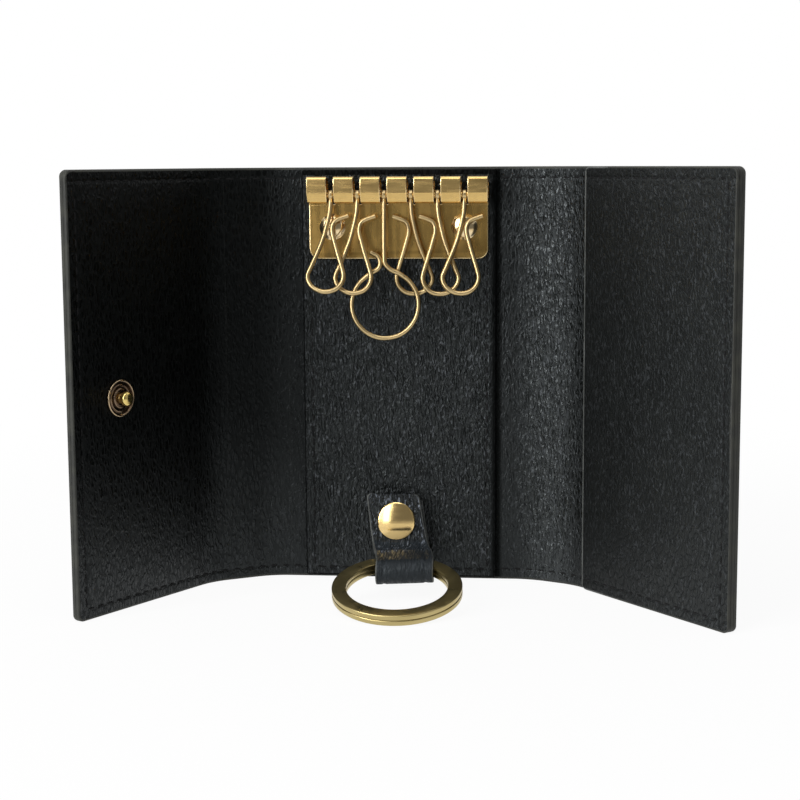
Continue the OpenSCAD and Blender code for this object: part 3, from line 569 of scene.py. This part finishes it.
def fold_line(side, level):
    """Where the fold line stands between the centre and a spine (level 1), or a spine and its flap (2)."""
    line = Vector((side * HALF, 0, 0))
    return line if level == 1 else line + outwards(side, FOLD[side]) * SPINE_W[side]


def on_panel(side, level):
    """Gives a panel's own places: distance along it, forward distance and height."""
    turn = FOLD[side] * level
    origin = fold_line(side, level) if level else Vector((0, 0, 0))

    def place(u, v, z):
        return origin + outwards(side, turn) * u + inwards(side, turn) * v + Vector((0, 0, z))
    return place


def on_bend(side, level):
    """The same for the strip that bends at a fold; u runs from one end of the bend to the other."""
    before, fold = FOLD[side] * (level - 1), FOLD[side]
    r = STRIP_W / 2 / math.tan(fold / 2)
    middle = fold_line(side, level) - outwards(side, before) * (STRIP_W / 2) + inwards(side, before) * r

    def place(u, v, z):
        turn = before + fold * min(1, max(0, u / STRIP_W))
        flat = min(0, u) + max(0, u - STRIP_W)
        return middle - inwards(side, turn) * (r - v) + outwards(side, turn) * flat + Vector((0, 0, z))
    return place


def dip(distance, width, depth):
    """Depth of a soft groove at a distance from its middle."""
    return depth * math.exp(-(distance / width) ** 2)


# Angles of a rounded edge, places across a seam and near a cut end, and a distance that stands for no end at all
EDGE_TURN = (0, 15, 45, 75, 90)
SEAM_STEPS = (-0.8, -0.5, -0.25, 0, 0.25, 0.5, 0.8)
END_STEPS = (0.02, 0.08, 0.18, 0.3, 0.45, 0.65, 0.9, 1.2, 1.5, 1.8, 2.1)
FAR_OFF = 99


def slab_ring(place, u, back, front, low, high, r_back, r_front, rows, groove):
    """One section through a sheet of leather: up its front, over the top, down its back."""
    r_back, r_front = (min(r, 0.48 * (front - back)) for r in (r_back, r_front))

    def edge(v, z, r, start):
        turns = [math.radians(start + a) for a in EDGE_TURN]
        return [(v + r * math.cos(a), z + r * math.sin(a)) for a in turns]

    ring = ([(front - groove(u, z), z) for z in rows] + edge(front - r_front, high - r_front, r_front, 0)
            + edge(back + r_back, high - r_back, r_back, 90) + [(back, z) for z in reversed(rows)]
            + edge(back + r_back, low + r_back, r_back, 180) + edge(front - r_front, low + r_front, r_front, 270))
    return [place(u, v, z) for v, z in ring]


def slab(place, start, end, back, front, low, high, *, r_back, r_front, free, corner, seams_u=(), seams_z=(), step=9.0,
         lip=0.0):
    """A sheet of leather from one end to another, rounded where it is cut, with sunk seams.
    The first end's painted edge reaches onto the face by the width of its lip."""
    r_end = max(r_back, r_front)
    margin = r_end + 0.12

    def groove(u, z):
        return max([0] + [dip(d, SEAM_W, SEAM_DEPTH) for d in [u - s for s in seams_u] + [z - s for s in seams_z]])

    stations = set(span(start, end, step)) | {start + 0.1, start + 0.3, end - 0.3, end - 0.1}
    stations |= {s + d for s in seams_u for d in SEAM_STEPS}
    stations |= {start + d for d in END_STEPS if free[0]} | {end - d for d in END_STEPS if free[1]}
    rows = set(span(low + margin, high - margin, step)) | {s + d for s in seams_z for d in SEAM_STEPS}
    rows = sorted(z for z in rows if low + margin <= z <= high - margin)
    rings, ends = [], []
    for u in sorted(round(u, 4) for u in stations):
        d = min(u - start if free[0] else FAR_OFF, end - u if free[1] else FAR_OFF)
        in_z, thin = rounding(corner, d), rounding(r_end, d)
        lo, hi = low + in_z, high - in_z
        moved = [lo + (z - low) / (high - low) * (hi - lo) for z in rows]
        rings.append(slab_ring(place, u, back + thin * r_back / r_end, front - thin * r_front / r_end, lo, hi,
                               r_back, r_front, moved, groove))
        ends.append(d < r_end + 0.01 or u - start < lip)
    m, turned_points = len(rows), 2 * len(EDGE_TURN)

    def zone(i, k):
        if k < 0:
            return 1 if free[0 if i == 0 else 1] else 0
        if not (k < m - 1 or m + turned_points <= k < 2 * m + turned_points - 1):
            return 1
        return 1 if ends[i] and ends[min(i + 1, len(ends) - 1)] else 0
    return skin(rings, zone)


def stitches(place, start, end, face):
    """Thread lying in a straight seam between two points (u, z): one long bead for each stitch, its ends sunk in."""
    start, run = Vector(start), Vector(end) - Vector(start)
    side = Vector((-run.y, run.x)).normalized()
    count = max(1, round(run.length / STITCH_PITCH))
    beads = []
    for i in range(count):
        rings = []
        for j in range(7):
            t = -1 + j / 3
            w = THREAD_W / 2 * math.sqrt(max(0.02, 1 - t ** 4))
            at = start + run * ((i + 0.5) / count + t * STITCH_L / 2 / run.length)
            high = face - THREAD_IN - THREAD_SINK * t * t
            rings.append([place(at.x + side.x * w * math.cos(c), high + w * math.sin(c) * THREAD_FLAT,
                                at.y + side.y * w * math.cos(c)) for c in around(8)])
        beads.append(skin(rings))
    return beads


def sewn(name, place, runs, face):
    """The thread of some straight seams in a face."""
    beads = [bead for start, end in runs for bead in stitches(place, start, end, face)]
    return solid(f"thread_{name}", *join(*beads)[:2], [THREAD])


# ---- leathers of the case

EDGE_SEAMS = (SEAM_IN, CASE_H - SEAM_IN)


def leather_pair(panel, side, level, start, end, free=(False, False), bend=False):
    """Outer leather and lining of one panel or fold, with the thread that joins them."""
    place = (on_bend if bend else on_panel)(side, level)
    last = end - SEAM_IN if free[1] else end
    shape = {"free": free, "corner": CORNER_R if free[1] else 0.0, "step": 0.5 if bend else 9.0}
    outer = slab(place, start, end, -OUTER_T, 0, 0, CASE_H, r_back=0.5, r_front=0.06, **shape)
    inner = slab(place, start, end, 0, LINING_T, 0, CASE_H, r_back=0.06, r_front=0.45,
                 seams_u=(last,) if free[1] else (), seams_z=EDGE_SEAMS, **shape)
    pieces = []
    for layer, built, finish in (("outer", outer, OUTER), ("lining", inner, LINING)):
        name = f"{layer}_{panel}"
        piece = solid(f"{name}_leather", built[0], built[1], [finish, PAINT], built[2])
        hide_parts(name)
        pieces.append(piece)
    runs = [((start, z), (last, z)) for z in EDGE_SEAMS]
    if free[1] and side == LEFT:
        runs.append([(last, z) for z in EDGE_SEAMS])
    return pieces + [sewn(panel, place, runs, LINING_T)]


for piece in leather_pair("back", RIGHT, 0, -HALF + STRIP_W / 2 + OVERRUN, HALF - STRIP_W / 2 - OVERRUN):
    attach(piece, "centre")
for side in (LEFT, RIGHT):
    word = SIDE_NAME[side]
    spine, flap = f"{word}_spine", f"{word}_flap"
    edge = STRIP_W / 2 + OVERRUN
    for piece in leather_pair(spine, side, 1, edge, SPINE_W[side] - edge):
        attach(piece, spine)
    for piece in leather_pair(flap, side, 2, edge, FLAP_W[side], free=(False, True)):
        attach(piece, flap)
    for level, name, a, b in ((1, f"{word}_back_fold", "centre", spine), (2, f"{word}_flap_fold", spine, flap)):
        line = fold_line(side, level)
        near = (line - outwards(side, FOLD[side] * (level - 1)) * (STRIP_W / 2)) * MM
        far = (line + outwards(side, FOLD[side] * level) * (STRIP_W / 2)) * MM
        for piece in leather_pair(name, side, level, -OVERRUN, STRIP_W + OVERRUN, bend=True):
            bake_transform(piece)

front, seam_x = on_panel(RIGHT, 0), PANEL_W / 2 - 2.2
built = slab(front, -PANEL_W / 2, PANEL_W / 2, LINING_T, PANEL_FACE, PANEL_INSET, CASE_H - PANEL_INSET, r_back=0.06,
             r_front=0.3, free=(True, True), corner=0.6, seams_u=(-seam_x, seam_x), seams_z=EDGE_SEAMS)
hang(solid("key_panel_leather", built[0], built[1], [PANEL, PANEL_EDGE_PAINTED_SHADE], built[2]), "centre", "key_panel")
low, high = EDGE_SEAMS
loop = [(-seam_x, low), (seam_x, low), (seam_x, high), (-seam_x, high), (-seam_x, low)]
hang(sewn("key_panel", front, zip(loop, loop[1:]), PANEL_FACE), "centre")

flap_place, outer_seam, pocket_face = on_panel(RIGHT, 2), FLAP_W[RIGHT] - SEAM_IN, LINING_T + POCKET_T
built = slab(flap_place, POCKET_START, FLAP_W[RIGHT], LINING_T, pocket_face, 0, CASE_H, r_back=0.06, r_front=0.35,
             free=(True, True), corner=CORNER_R, seams_u=(outer_seam,), seams_z=EDGE_SEAMS, lip=0.7)
# Only the pocket's open end, its first sections, is left as it was cut, its lighter tone a painted highlight; its other
# edges are painted with the case's
section_points, open_sections = built[1][0][1], 12
zones = [2 if z and f[0] // section_points > open_sections else z for f, z in zip(built[1], built[2])]
hang(solid("card_pocket_leather", built[0], built[1], [POCKET, CUT_EDGE_PAINTED_HIGHLIGHT, PAINT], zones), "right_flap", "card_pocket")
run = [(POCKET_START + 1, low), (outer_seam, low), (outer_seam, high), (POCKET_START + 1, high)]
hang(sewn("card_pocket", flap_place, zip(run, run[1:]), pocket_face), "right_flap")


# ---- key plate

def inset(outline, d):
    """The outline moved inwards by d; it runs counterclockwise."""
    moved = []
    for i, p in enumerate(outline):
        a, b, c = Vector(outline[i - 1]), Vector(p), Vector(outline[(i + 1) % len(outline)])
        n = [Vector((-(q - r).y, (q - r).x)).normalized() for r, q in ((a, b), (b, c))]
        m = (n[0] + n[1]).normalized()
        moved.append(tuple(b + m * (d / max(0.3, m.dot(n[0])))))
    return moved


def pressed(outline, back, face, bevel):
    """A flat piece with a rounded front edge, its outline given as (place across, height)."""
    steps = [(0, back), (0, face - bevel), (0.134 * bevel, face - bevel * 0.5), (0.5 * bevel, face - bevel * 0.134),
             (bevel, face), (bevel + 0.08, face)]
    rings = [[(x, -f, z) for x, z in inset(outline, d)] for d, f in steps]
    return skin(rings, lambda i, k: 1 if 0 < i < 4 and k >= 0 else 0)


def rolled(section, hollow, start, end, bevel, band=None):
    """A tube along X with rounded outer ends; both outlines are (forward distance, height).
    band is the place in the outline of the side whose finish is a darker copy of the knuckle brass, painted shade."""
    rings = []
    for x, d in ((start, None), (start, bevel), (start + bevel * 0.3, bevel * 0.3), (start + bevel, 0),
                 (start + bevel + 0.1, 0), (end - bevel - 0.1, 0), (end - bevel, 0), (end - bevel * 0.3, bevel * 0.3),
                 (end, bevel), (end, None)):
        outline = hollow if d is None else inset(section, d)
        rings.append([(x, -f, z) for f, z in outline])
    return skin(rings, lambda i, k: 3 if i in (1, 2, 6, 7) else 4 if k == band and 0 < i < 8 else 2, closed=True)


def stadium(r):
    """Outline of the knuckles' roll: flat in front and behind, with a close bend above and a flat band below."""
    bend = r - 1.65
    return (arc((BARREL_FORWARD + r - bend, BARREL_HIGH + r - bend), bend, 0, 90, 6)
            + arc((BARREL_FORWARD, BARREL_HIGH), r, 90, 180, 6) + arc((BARREL_FORWARD, BARREL_LOW), r, 180, 300, 8)
            + [(BARREL_FORWARD + r, BARREL_LOW)])


half, c = PLATE_W / 2, PLATE_CORNER
outline = ([(half, SLOT_Z), (-half, SLOT_Z)] + arc((-half + c, PLATE_BOTTOM + c), c, 180, 270, 8)
           + arc((half - c, PLATE_BOTTOM + c), c, 270, 360, 8))
plate_parts = [pressed(outline, PANEL_FACE, PLATE_FACE, 0.22)]
band = len(stadium(BARREL_R)) - 2
for i in range(KNUCKLES):
    x = i * PITCH - half
    plate_parts.append(rolled(stadium(BARREL_R), stadium(BARREL_R - PLATE_T), x, x + KNUCKLE_W, 0.14, band))
    seat = (BARREL_FORWARD, ROD_Z)
    plate_parts.append(rolled(circle(seat, ROD_R + ROD_FIT + CURL_T), circle(seat, ROD_R + ROD_FIT), x + 0.02,
                              x + KNUCKLE_W - 0.02, 0.08))
    tongue = [(x + KNUCKLE_W, BARREL_LOW), (x, BARREL_LOW), (x, SLOT_Z - 0.3), (x + KNUCKLE_W, SLOT_Z - 0.3)]
    plate_parts.append(pressed(tongue, PANEL_FACE, PLATE_FACE, 0.1))
points, faces, zones = join(*plate_parts)
hang(solid("key_plate_brass", points, faces, [PLATE, RIM_WEAR_AND_HIGHLIGHT, KNUCKLE, RIM_WEAR_AND_HIGHLIGHT, KNUCKLE_BAND_PAINTED_SHADE], zones, sharp=29), "centre", "key_plate")


# ---- key hooks

def wire(line):
    """Rings of wire along a flat line (x, z)."""
    rings = []
    for i, (x, z) in enumerate(line):
        t = heading(line, i)
        rings.append([(x + WIRE_R * math.cos(a) * t[1], WIRE_R * math.sin(a), z - WIRE_R * math.cos(a) * t[0])
                      for a in around(14)])
    return rings


def hook_line(big):
    """A hook's wire from its eye to its free end, hanging straight down."""
    if not big:
        return smooth([(x * HOOK_W, -z * HOOK_L) for x, z in SMALL_HOOK], 6)
    stem, tail = (smooth([(x * BIG_D, -z * BIG_L) for x, z in part], 6) for part in (BIG_STEM, BIG_TAIL))
    return stem + arc((BIG_SHIFT * BIG_D, BIG_D / 2 - BIG_L), BIG_D / 2, BIG_LOOP_FROM, BIG_LOOP_TO, 39) + tail


def eye():
    """The flattened turn of wire that the rod passes through."""
    r_in, r_out, w = ROD_R + ROD_FIT, ROD_R + ROD_FIT + EYE_T, EYE_W / 2
    side = [(r_in, w - 0.15), (r_out - 0.14, w), (r_out - 0.03, w - 0.1), (r_out, w - 0.3)]
    profile = [(r, -x) for r, x in side] + side[::-1]
    return [[(x, r * math.sin(a), r * math.cos(a)) for r, x in profile] for a in around(28)]


for number, (fan, hand, big) in enumerate(HOOKS, 1):
    spot = (Matrix.Translation(((number - KNUCKLES / 2) * PITCH, -BARREL_FORWARD, ROD_Z))
            @ Matrix.Rotation(-fan * FAN, 4, "X"))
    tube = wire([(hand * x, z) for x, z in hook_line(big)])
    # The wire's free end is rounded off
    middle = sum((Vector(p) for p in tube[-1]), Vector()) / len(tube[-1])
    tube.append([tuple(Vector(p) * 0.45 + middle * 0.55) for p in tube[-1]])
    points, faces, _ = join(skin(tube), skin(eye(), closed=True))
    points = [spot @ Vector(p) for p in points]
    hang(solid(f"hook_{number}_wire", points, faces, [WIRE]), f"hook_{number}", f"hook_{number}")


# ---- ring strap

# Where the fold and the strap's way round the ring lie, so that the ring's band has room in the fold
side_reach = STRAP_W / 2 + abs(FOLD_X - RING_X)
chord = math.sqrt(RING_IN ** 2 - side_reach ** 2)
room = STRAP_W / 2 * math.sin(SLANT) + RING_T / 2
FOLD_FORWARD = RING_FORWARD - chord * math.cos(RING_TILT) - math.sqrt((FOLD_R - RING_CLEAR / 2) ** 2 - room ** 2)
FOLD_Z = RING_Z + chord * math.sin(RING_TILT) + FOLD_RISE
LINE_R = FOLD_R + STRAP_T / 2
BEND_Z = HINGE_Z - BEND_R
FOOT_Z = FOLD_Z - LINE_R - (FOLD_FORWARD - LAYER_FORWARD) / STRAP_W * FOLD_RISE + FOOT_R
HUMP = (RING_FORWARD - RING_R * math.cos(RING_TILT),
        RING_Z + RING_R * math.sin(RING_TILT) + RING_T / 2 * math.cos(RING_TILT) + RING_CLEAR + STRAP_T / 2)


def lean_x(z):
    """The leaning tab's middle at a height."""
    return SNAP_X - math.tan(STRAP_LEAN) * (z - SNAP_Z)


def strap_line():
    """Middle line of the strap (forward distance, height): down the key panel, forward and round the ring's band, back
    over it and up the tab."""
    hump = [(HUMP[0] + f, HUMP[1] + z) for f, z in ((0, 0), (-3.4, -0.42), (-6.6, -0.62))]
    bend = [(TAB_FORWARD + f, BEND_Z + z) for f, z in ((3.6, 0.85), (1.7, 1.35), (0.55, 2.4), (0.08, 3.6))]
    return ([(LAYER_FORWARD, z) for z in (STRAP_TOP - 2.2, 16, 12, 9)]
            + arc((LAYER_FORWARD + FOOT_R, FOOT_Z), FOOT_R, 180, 270, 8)
            + arc((FOLD_FORWARD, FOLD_Z), LINE_R, -90, 90, 18)
            + smooth(hump + bend, 4)
            + [(TAB_FORWARD, z) for z in span(HINGE_Z + 2.9, STRAP_TOP - 2, 1.2)]
            + [(TAB_FORWARD, STRAP_TOP - d) for d in (1.6, 1.2, 0.9, 0.6, 0.4, 0.25, 0.12, 0.04, 0)])


TAB_CORNER, TAB_EDGE, STRAP_EDGE, SIDE_LINE_IN = 1.2, 0.3, 0.28, 1.95
FACE_POINTS, TURN_POINTS, FLESH_POINTS = 15, 8, 5


def strap_section(width, thin):
    """Across the strap: the grain side with its two sunk side lines, then the flesh side."""
    w, t = width / 2, STRAP_T / 2 - thin
    r = min(STRAP_EDGE, t * 0.95)
    right = [w - r - 0.1] + [w - d for d in (1.3, 1.7, SIDE_LINE_IN, 2.2, 2.6)] + [w / 3]
    face = [(x, -t + dip(abs(x) - (w - SIDE_LINE_IN), 0.32, 0.17)) for x in [-x for x in right] + [0] + right[::-1]]
    flesh = [(x, t) for x in (w - r - 0.1, w / 2, 0, -w / 2, -w + r + 0.1)]
    return (face + arc((w - r, -t + r), r, -90, 0, 3) + arc((w - r, t - r), r, 0, 90, 3)
            + flesh + arc((-w + r, t - r), r, 90, 180, 3) + arc((-w + r, -t + r), r, 180, 270, 3))


def strap_zone(i, k):
    """The sides are painted in a lighter tone, a painted highlight; the grain and flesh sides are leather."""
    second = FACE_POINTS + TURN_POINTS + FLESH_POINTS
    return 1 if FACE_POINTS <= k < FACE_POINTS + TURN_POINTS - 1 or k >= second else 0


line = strap_line()
rings = []
for i, (f, z) in enumerate(line):
    t = heading(line, i)
    share = max(0, min(1, (f - TAB_FORWARD) / (FOLD_FORWARD - TAB_FORWARD)))
    middle = (1 - share) * lean_x(z) + share * FOLD_X
    rise = math.sin(SLANT) * share
    # The tab narrows to its top, whose corners are round
    on_tab = i > len(line) / 2 and z > HINGE_Z
    d = STRAP_TOP - z if on_tab else FAR_OFF
    narrow = STRAP_TAPER * max(0, (z - HINGE_Z) / (STRAP_TOP - HINGE_Z)) if on_tab else 0
    # n is positive on the flesh side, which lies to the left of the line as it runs on
    rings.append([(middle + x, -(f - n * t[1]), z + n * t[0] + x * rise)
                  for x, n in strap_section(STRAP_W - 2 * (narrow + rounding(TAB_CORNER, d)), rounding(TAB_EDGE, d))])
points, faces, zones = skin(rings, strap_zone)
strap = solid("ring_strap_leather", points, faces, [STRAP, CUT_EDGE_PAINTED_HIGHLIGHT], zones)
start = Vector((lean_x(HINGE_Z), -TAB_FORWARD - 3, HINGE_Z - 1)) * MM
end = Vector((lean_x(HINGE_Z), -TAB_FORWARD, HINGE_Z + 1.8)) * MM
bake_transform(strap)
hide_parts("strap_loop", "strap_tab")


# ---- split ring

def ring_rise(a):
    """How high the band lies, a degrees from its start."""
    return (TURN_T + TURN_GAP) * min(1, max(0, (a - CROSS_FROM) / CROSS_RUN))


spot = (Matrix.Translation((RING_X, -RING_FORWARD, RING_Z)) @ Matrix.Rotation(RING_TILT, 4, "X")
        @ Matrix.Translation((0, 0, -RING_T / 2)))
a, b = RING_IN_EDGE, RING_OUT_EDGE
section = (arc((RING_IN + a, a), a, 270, 180, 3) + arc((RING_IN + a, TURN_T - a), a, 180, 90, 3)
           + arc((RING_R - b, TURN_T - b), b, 90, 0, 3) + arc((RING_R - b, b), b, 0, -90, 3))
rings = []
for turn in span(0, RING_RUN, RING_RUN / 280):
    u = Vector((math.cos(math.radians(turn + RING_START)), math.sin(math.radians(turn + RING_START)), 0))
    rings.append([spot @ (u * r + Vector((0, 0, ring_rise(turn) + h))) for r, h in section])
hang(solid("split_ring_band", *skin(rings)[:2], [RING]), "ring", "split_ring")


# ---- flap stud

def turned(profile, place, zone=lambda i, k: 0):
    """A turned piece: (radius, forward distance) round an axis that stands on a panel."""
    return skin([[place(r * math.cos(a), f, r * math.sin(a)) for a in around(48)] for r, f in profile], zone)


def on_stud(u, v, z):
    """Places of the flap stud, the cap and a rivet: across, forward and upwards from their middles."""
    return on_panel(LEFT, 2)(STUD_U + u, v, STUD_Z + z)


# The dish, from its foot over its rolled edge and its inner ring, then the ball head
dish = [(1.2, 0), (1.2, 0.6), (4.3, 1.0), (4.4, 1.1), (4.4, 1.5), (4.33, 1.64), (4.15, 1.7), (3.97, 1.64), (3.87, 1.48),
        (3.8, 1.3), (3.3, 1.26), (3.2, 1.38), (3.05, 1.4), (2.9, 1.3), (2.45, 1.28), (2.4, 1.5), (2.3, 1.6),
        (1.25, 1.62)]
ball = [(1.2, 1.75), (1.2, 2.4), (1.25, 2.6), (1.6, 2.72), (1.7, 2.9), (1.7, 3.35), (1.66, 3.6), (1.5, 3.85),
        (1.15, 4.07), (0.6, 4.18), (0.05, 4.2)]
points, faces, zones = turned(dish + ball, on_stud, lambda i, k: 1 if i >= len(dish) else 0)
hang(solid("flap_stud_brass", points, faces, [DISH, STUD], zones, sharp=60), "left_flap", "flap_stud")


# ---- strap cap and plate rivets

def domed(r, foot, rise, edge, flatness):
    """Profile of a low dome: a rolled edge of the given height, then its crown."""
    side = [(r - 0.12, 0), (r, 0.1), (r, edge * 0.6), (r - 0.04, edge * 0.8), (r - 0.14, edge)]
    crown = [(max(0.02, (r - 0.14) * (1 - i / 16)), edge + rise * (1 - (1 - i / 16) ** flatness)) for i in range(1, 17)]
    return [(x, foot + y) for x, y in side + crown]


def on_cap(u, v, z):
    return Vector((SNAP_X, -CAP_FACE, SNAP_Z)) + CAP_LEAN @ Vector((u, -v, z))


def on_plate(side):
    return lambda u, v, z: Vector((side * RIVET_X + u, -PLATE_FACE - v, RIVET_Z + z))


cap = turned([(1, -1.2), (1, -0.3)] + domed(CAP_R, -0.5, 0.88, 1.08, 2), on_cap)
hang(solid("strap_cap_brass", *cap[:2], [DOME], sharp=60), "tab", "strap_cap")
rivets = [turned([(1.2, -1.9)] + domed(3.25, 0, 1.0, 0.22, 2.6), on_plate(side)) for side in (LEFT, RIGHT)]
hang(solid("plate_rivets_brass", *join(*rivets)[:2], [RIVET], sharp=60), "centre", "plate_rivets")


# ---- finishes of the frame's own pieces

OWN_FINISH = {"hook_rod": KNUCKLE, "strap_socket_spring": STEEL, "flap_socket_spring": STEEL}
for name in ("hook_rod", "rivet_washers", "strap_socket", "strap_socket_spring", "strap_stud", "strap_stud_washer",
             "flap_stud_washer", "flap_socket", "flap_socket_spring", "flap_socket_tube"):
    for s in nodes[name].material_slots:
        s.material = OWN_FINISH.get(name, SET_BRASS)


# ---- floor, light and camera

FRONT_SHADE, SCREEN_SHADE = 0.19, 0.9


def make_surround():
    """Shade of the studio round about: white behind the case, darker before it, a tall white screen at the left."""
    g, given, out = group("studio surround", {"Direction": None}, ("Shade",))
    x, y, _ = g.axes(g.vector("NORMALIZE", given["Direction"]))
    turn = g.math("ARCTAN2", x, g.math("MULTIPLY", y, -1.0))
    screen = g.math("MULTIPLY", g.ramp(turn, math.radians(-70), math.radians(-58), 0.0, SCREEN_SHADE),
                    g.ramp(turn, math.radians(-40), math.radians(-48)))
    g.put(out.inputs["Shade"], g.math("MAXIMUM", screen, g.ramp(y, -0.55, 0.35, FRONT_SHADE, 1.0)))
    return g.tree


SURROUND = make_surround()


def seen_rays(g):
    """1 for what the camera, a mirror or glass sees, 0 for the light that falls on the object."""
    rays = g.node("ShaderNodeLightPath").outputs
    seen = g.math("MAXIMUM", rays["Is Camera Ray"], rays["Is Glossy Ray"])
    return g.math("MAXIMUM", seen, rays["Is Transmission Ray"])


def studio_shade(g, direction):
    """The surround's shade, but white for the camera."""
    return g.math("MAXIMUM", use(g, SURROUND, Direction=direction)["Shade"],
                  g.node("ShaderNodeLightPath").outputs["Is Camera Ray"])


FLOOR_REACH = 4
corners = [(x * FLOOR_REACH, y * FLOOR_REACH, 0) for x, y in ((-1, -1), (1, -1), (1, 1), (-1, 1))]
floor_mesh = bpy.data.meshes.new("floor")
floor_mesh.from_pydata(corners, [], [(0, 1, 2, 3)])
floor = bpy.data.objects.new("floor", floor_mesh)
bpy.context.scene.collection.objects.link(floor)
m, g, shader = material("floor_white")
shader.inputs["Base Color"].default_value = (0.88, 0.88, 0.88, 1)
shader.inputs["Roughness"].default_value = 0.9
place = g.place()
distance = g.node("ShaderNodeVectorMath", {0: place}, operation="LENGTH").outputs["Value"]
# Close to the case the floor shines evenly, further out as the surround does
near = g.math("SUBTRACT", 1.0, g.along(distance, 200, 600))
glow = g.node("ShaderNodeEmission", {"Strength": g.math("MAXIMUM", studio_shade(g, place), near)})
# Right under the case a little of its shadow is left
share = g.math("MULTIPLY", seen_rays(g), g.along(distance, 80, 300, 0.93, 1.0))
both = g.node("ShaderNodeMixShader", {0: share, 1: shader.outputs[0], 2: glow.outputs[0]})
surface = next(n for n in g.tree.nodes if n.type == "OUTPUT_MATERIAL").inputs["Surface"]
g.put(surface, both.outputs[0])
floor_mesh.materials.append(m)
floor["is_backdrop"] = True

world = bpy.data.worlds.new("studio")
bpy.context.scene.world = world
world.use_nodes = True
world.node_tree.nodes.clear()
g = Graph(world.node_tree)
soft = g.node("ShaderNodeBackground", {"Color": (1, 1, 1, 1), "Strength": 0.45})
shade = studio_shade(g, g.node("ShaderNodeTexCoord").outputs["Generated"])
white = g.node("ShaderNodeBackground", {"Color": (1, 1, 1, 1), "Strength": shade})
both = g.node("ShaderNodeMixShader", {0: seen_rays(g), 1: soft.outputs[0], 2: white.outputs[0]})
g.node("ShaderNodeOutputWorld", {"Surface": both.outputs[0]})

AIM = Vector((0, -0.01, 0.05))


def lamp(name, turn, rise, wide, tall, power):
    """A soft box a metre off, turned from straight in front (left is negative) and raised, aimed at the case."""
    data = bpy.data.lights.new(name, "AREA")
    data.shape, data.size, data.size_y, data.energy = "RECTANGLE", wide, tall, power
    piece = bpy.data.objects.new(name, data)
    turn, rise = math.radians(turn), math.radians(rise)
    piece.location = AIM + Vector((math.sin(turn) * math.cos(rise), -math.cos(turn) * math.cos(rise), math.sin(rise)))
    piece.rotation_euler = (AIM - piece.location).to_track_quat("-Z", "Y").to_euler()
    bpy.context.scene.collection.objects.link(piece)


lamp("window_light", -29, 20, 0.28, 0.85, 4.2)
lamp("side_light", -50, 18, 0.16, 0.75, 4.6)
lamp("fill_light", 55, 25, 0.4, 0.4, 0.15)
lamp("top_light", -12, 66, 0.5, 0.5, 2.4)

# The camera's place in metres, its turns in degrees, and its focal length as a share of the picture's width
CAMERA_AT, CAMERA_TURN, CAMERA_DOWN, CAMERA_ROLL, FOCAL = (0.0416, -0.4328, 0.1058), 5.5, 7.88, -0.333, 1736.8 / 800
camera = bpy.data.objects.new("camera", bpy.data.cameras.new("camera"))
camera.data.sensor_width, camera.data.lens = 36, 36 * FOCAL
camera.data.clip_start = 0.01
turn, tilt, roll = (Matrix.Rotation(math.radians(a), 4, axis)
                    for a, axis in ((CAMERA_TURN, "Z"), (90 - CAMERA_DOWN, "X"), (CAMERA_ROLL, "Z")))
camera.matrix_world = Matrix.Translation(CAMERA_AT) @ turn @ tilt @ roll
bpy.context.scene.collection.objects.link(camera)
bpy.context.scene.camera = camera
bpy.context.scene.view_settings.view_transform = "Standard"


def plain(value):
    """A box as plain lists of numbers."""
    return [plain(v) for v in value] if hasattr(value, "__len__") else float(value)


{"frame": plain(bounds_before), "scene": plain(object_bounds())}
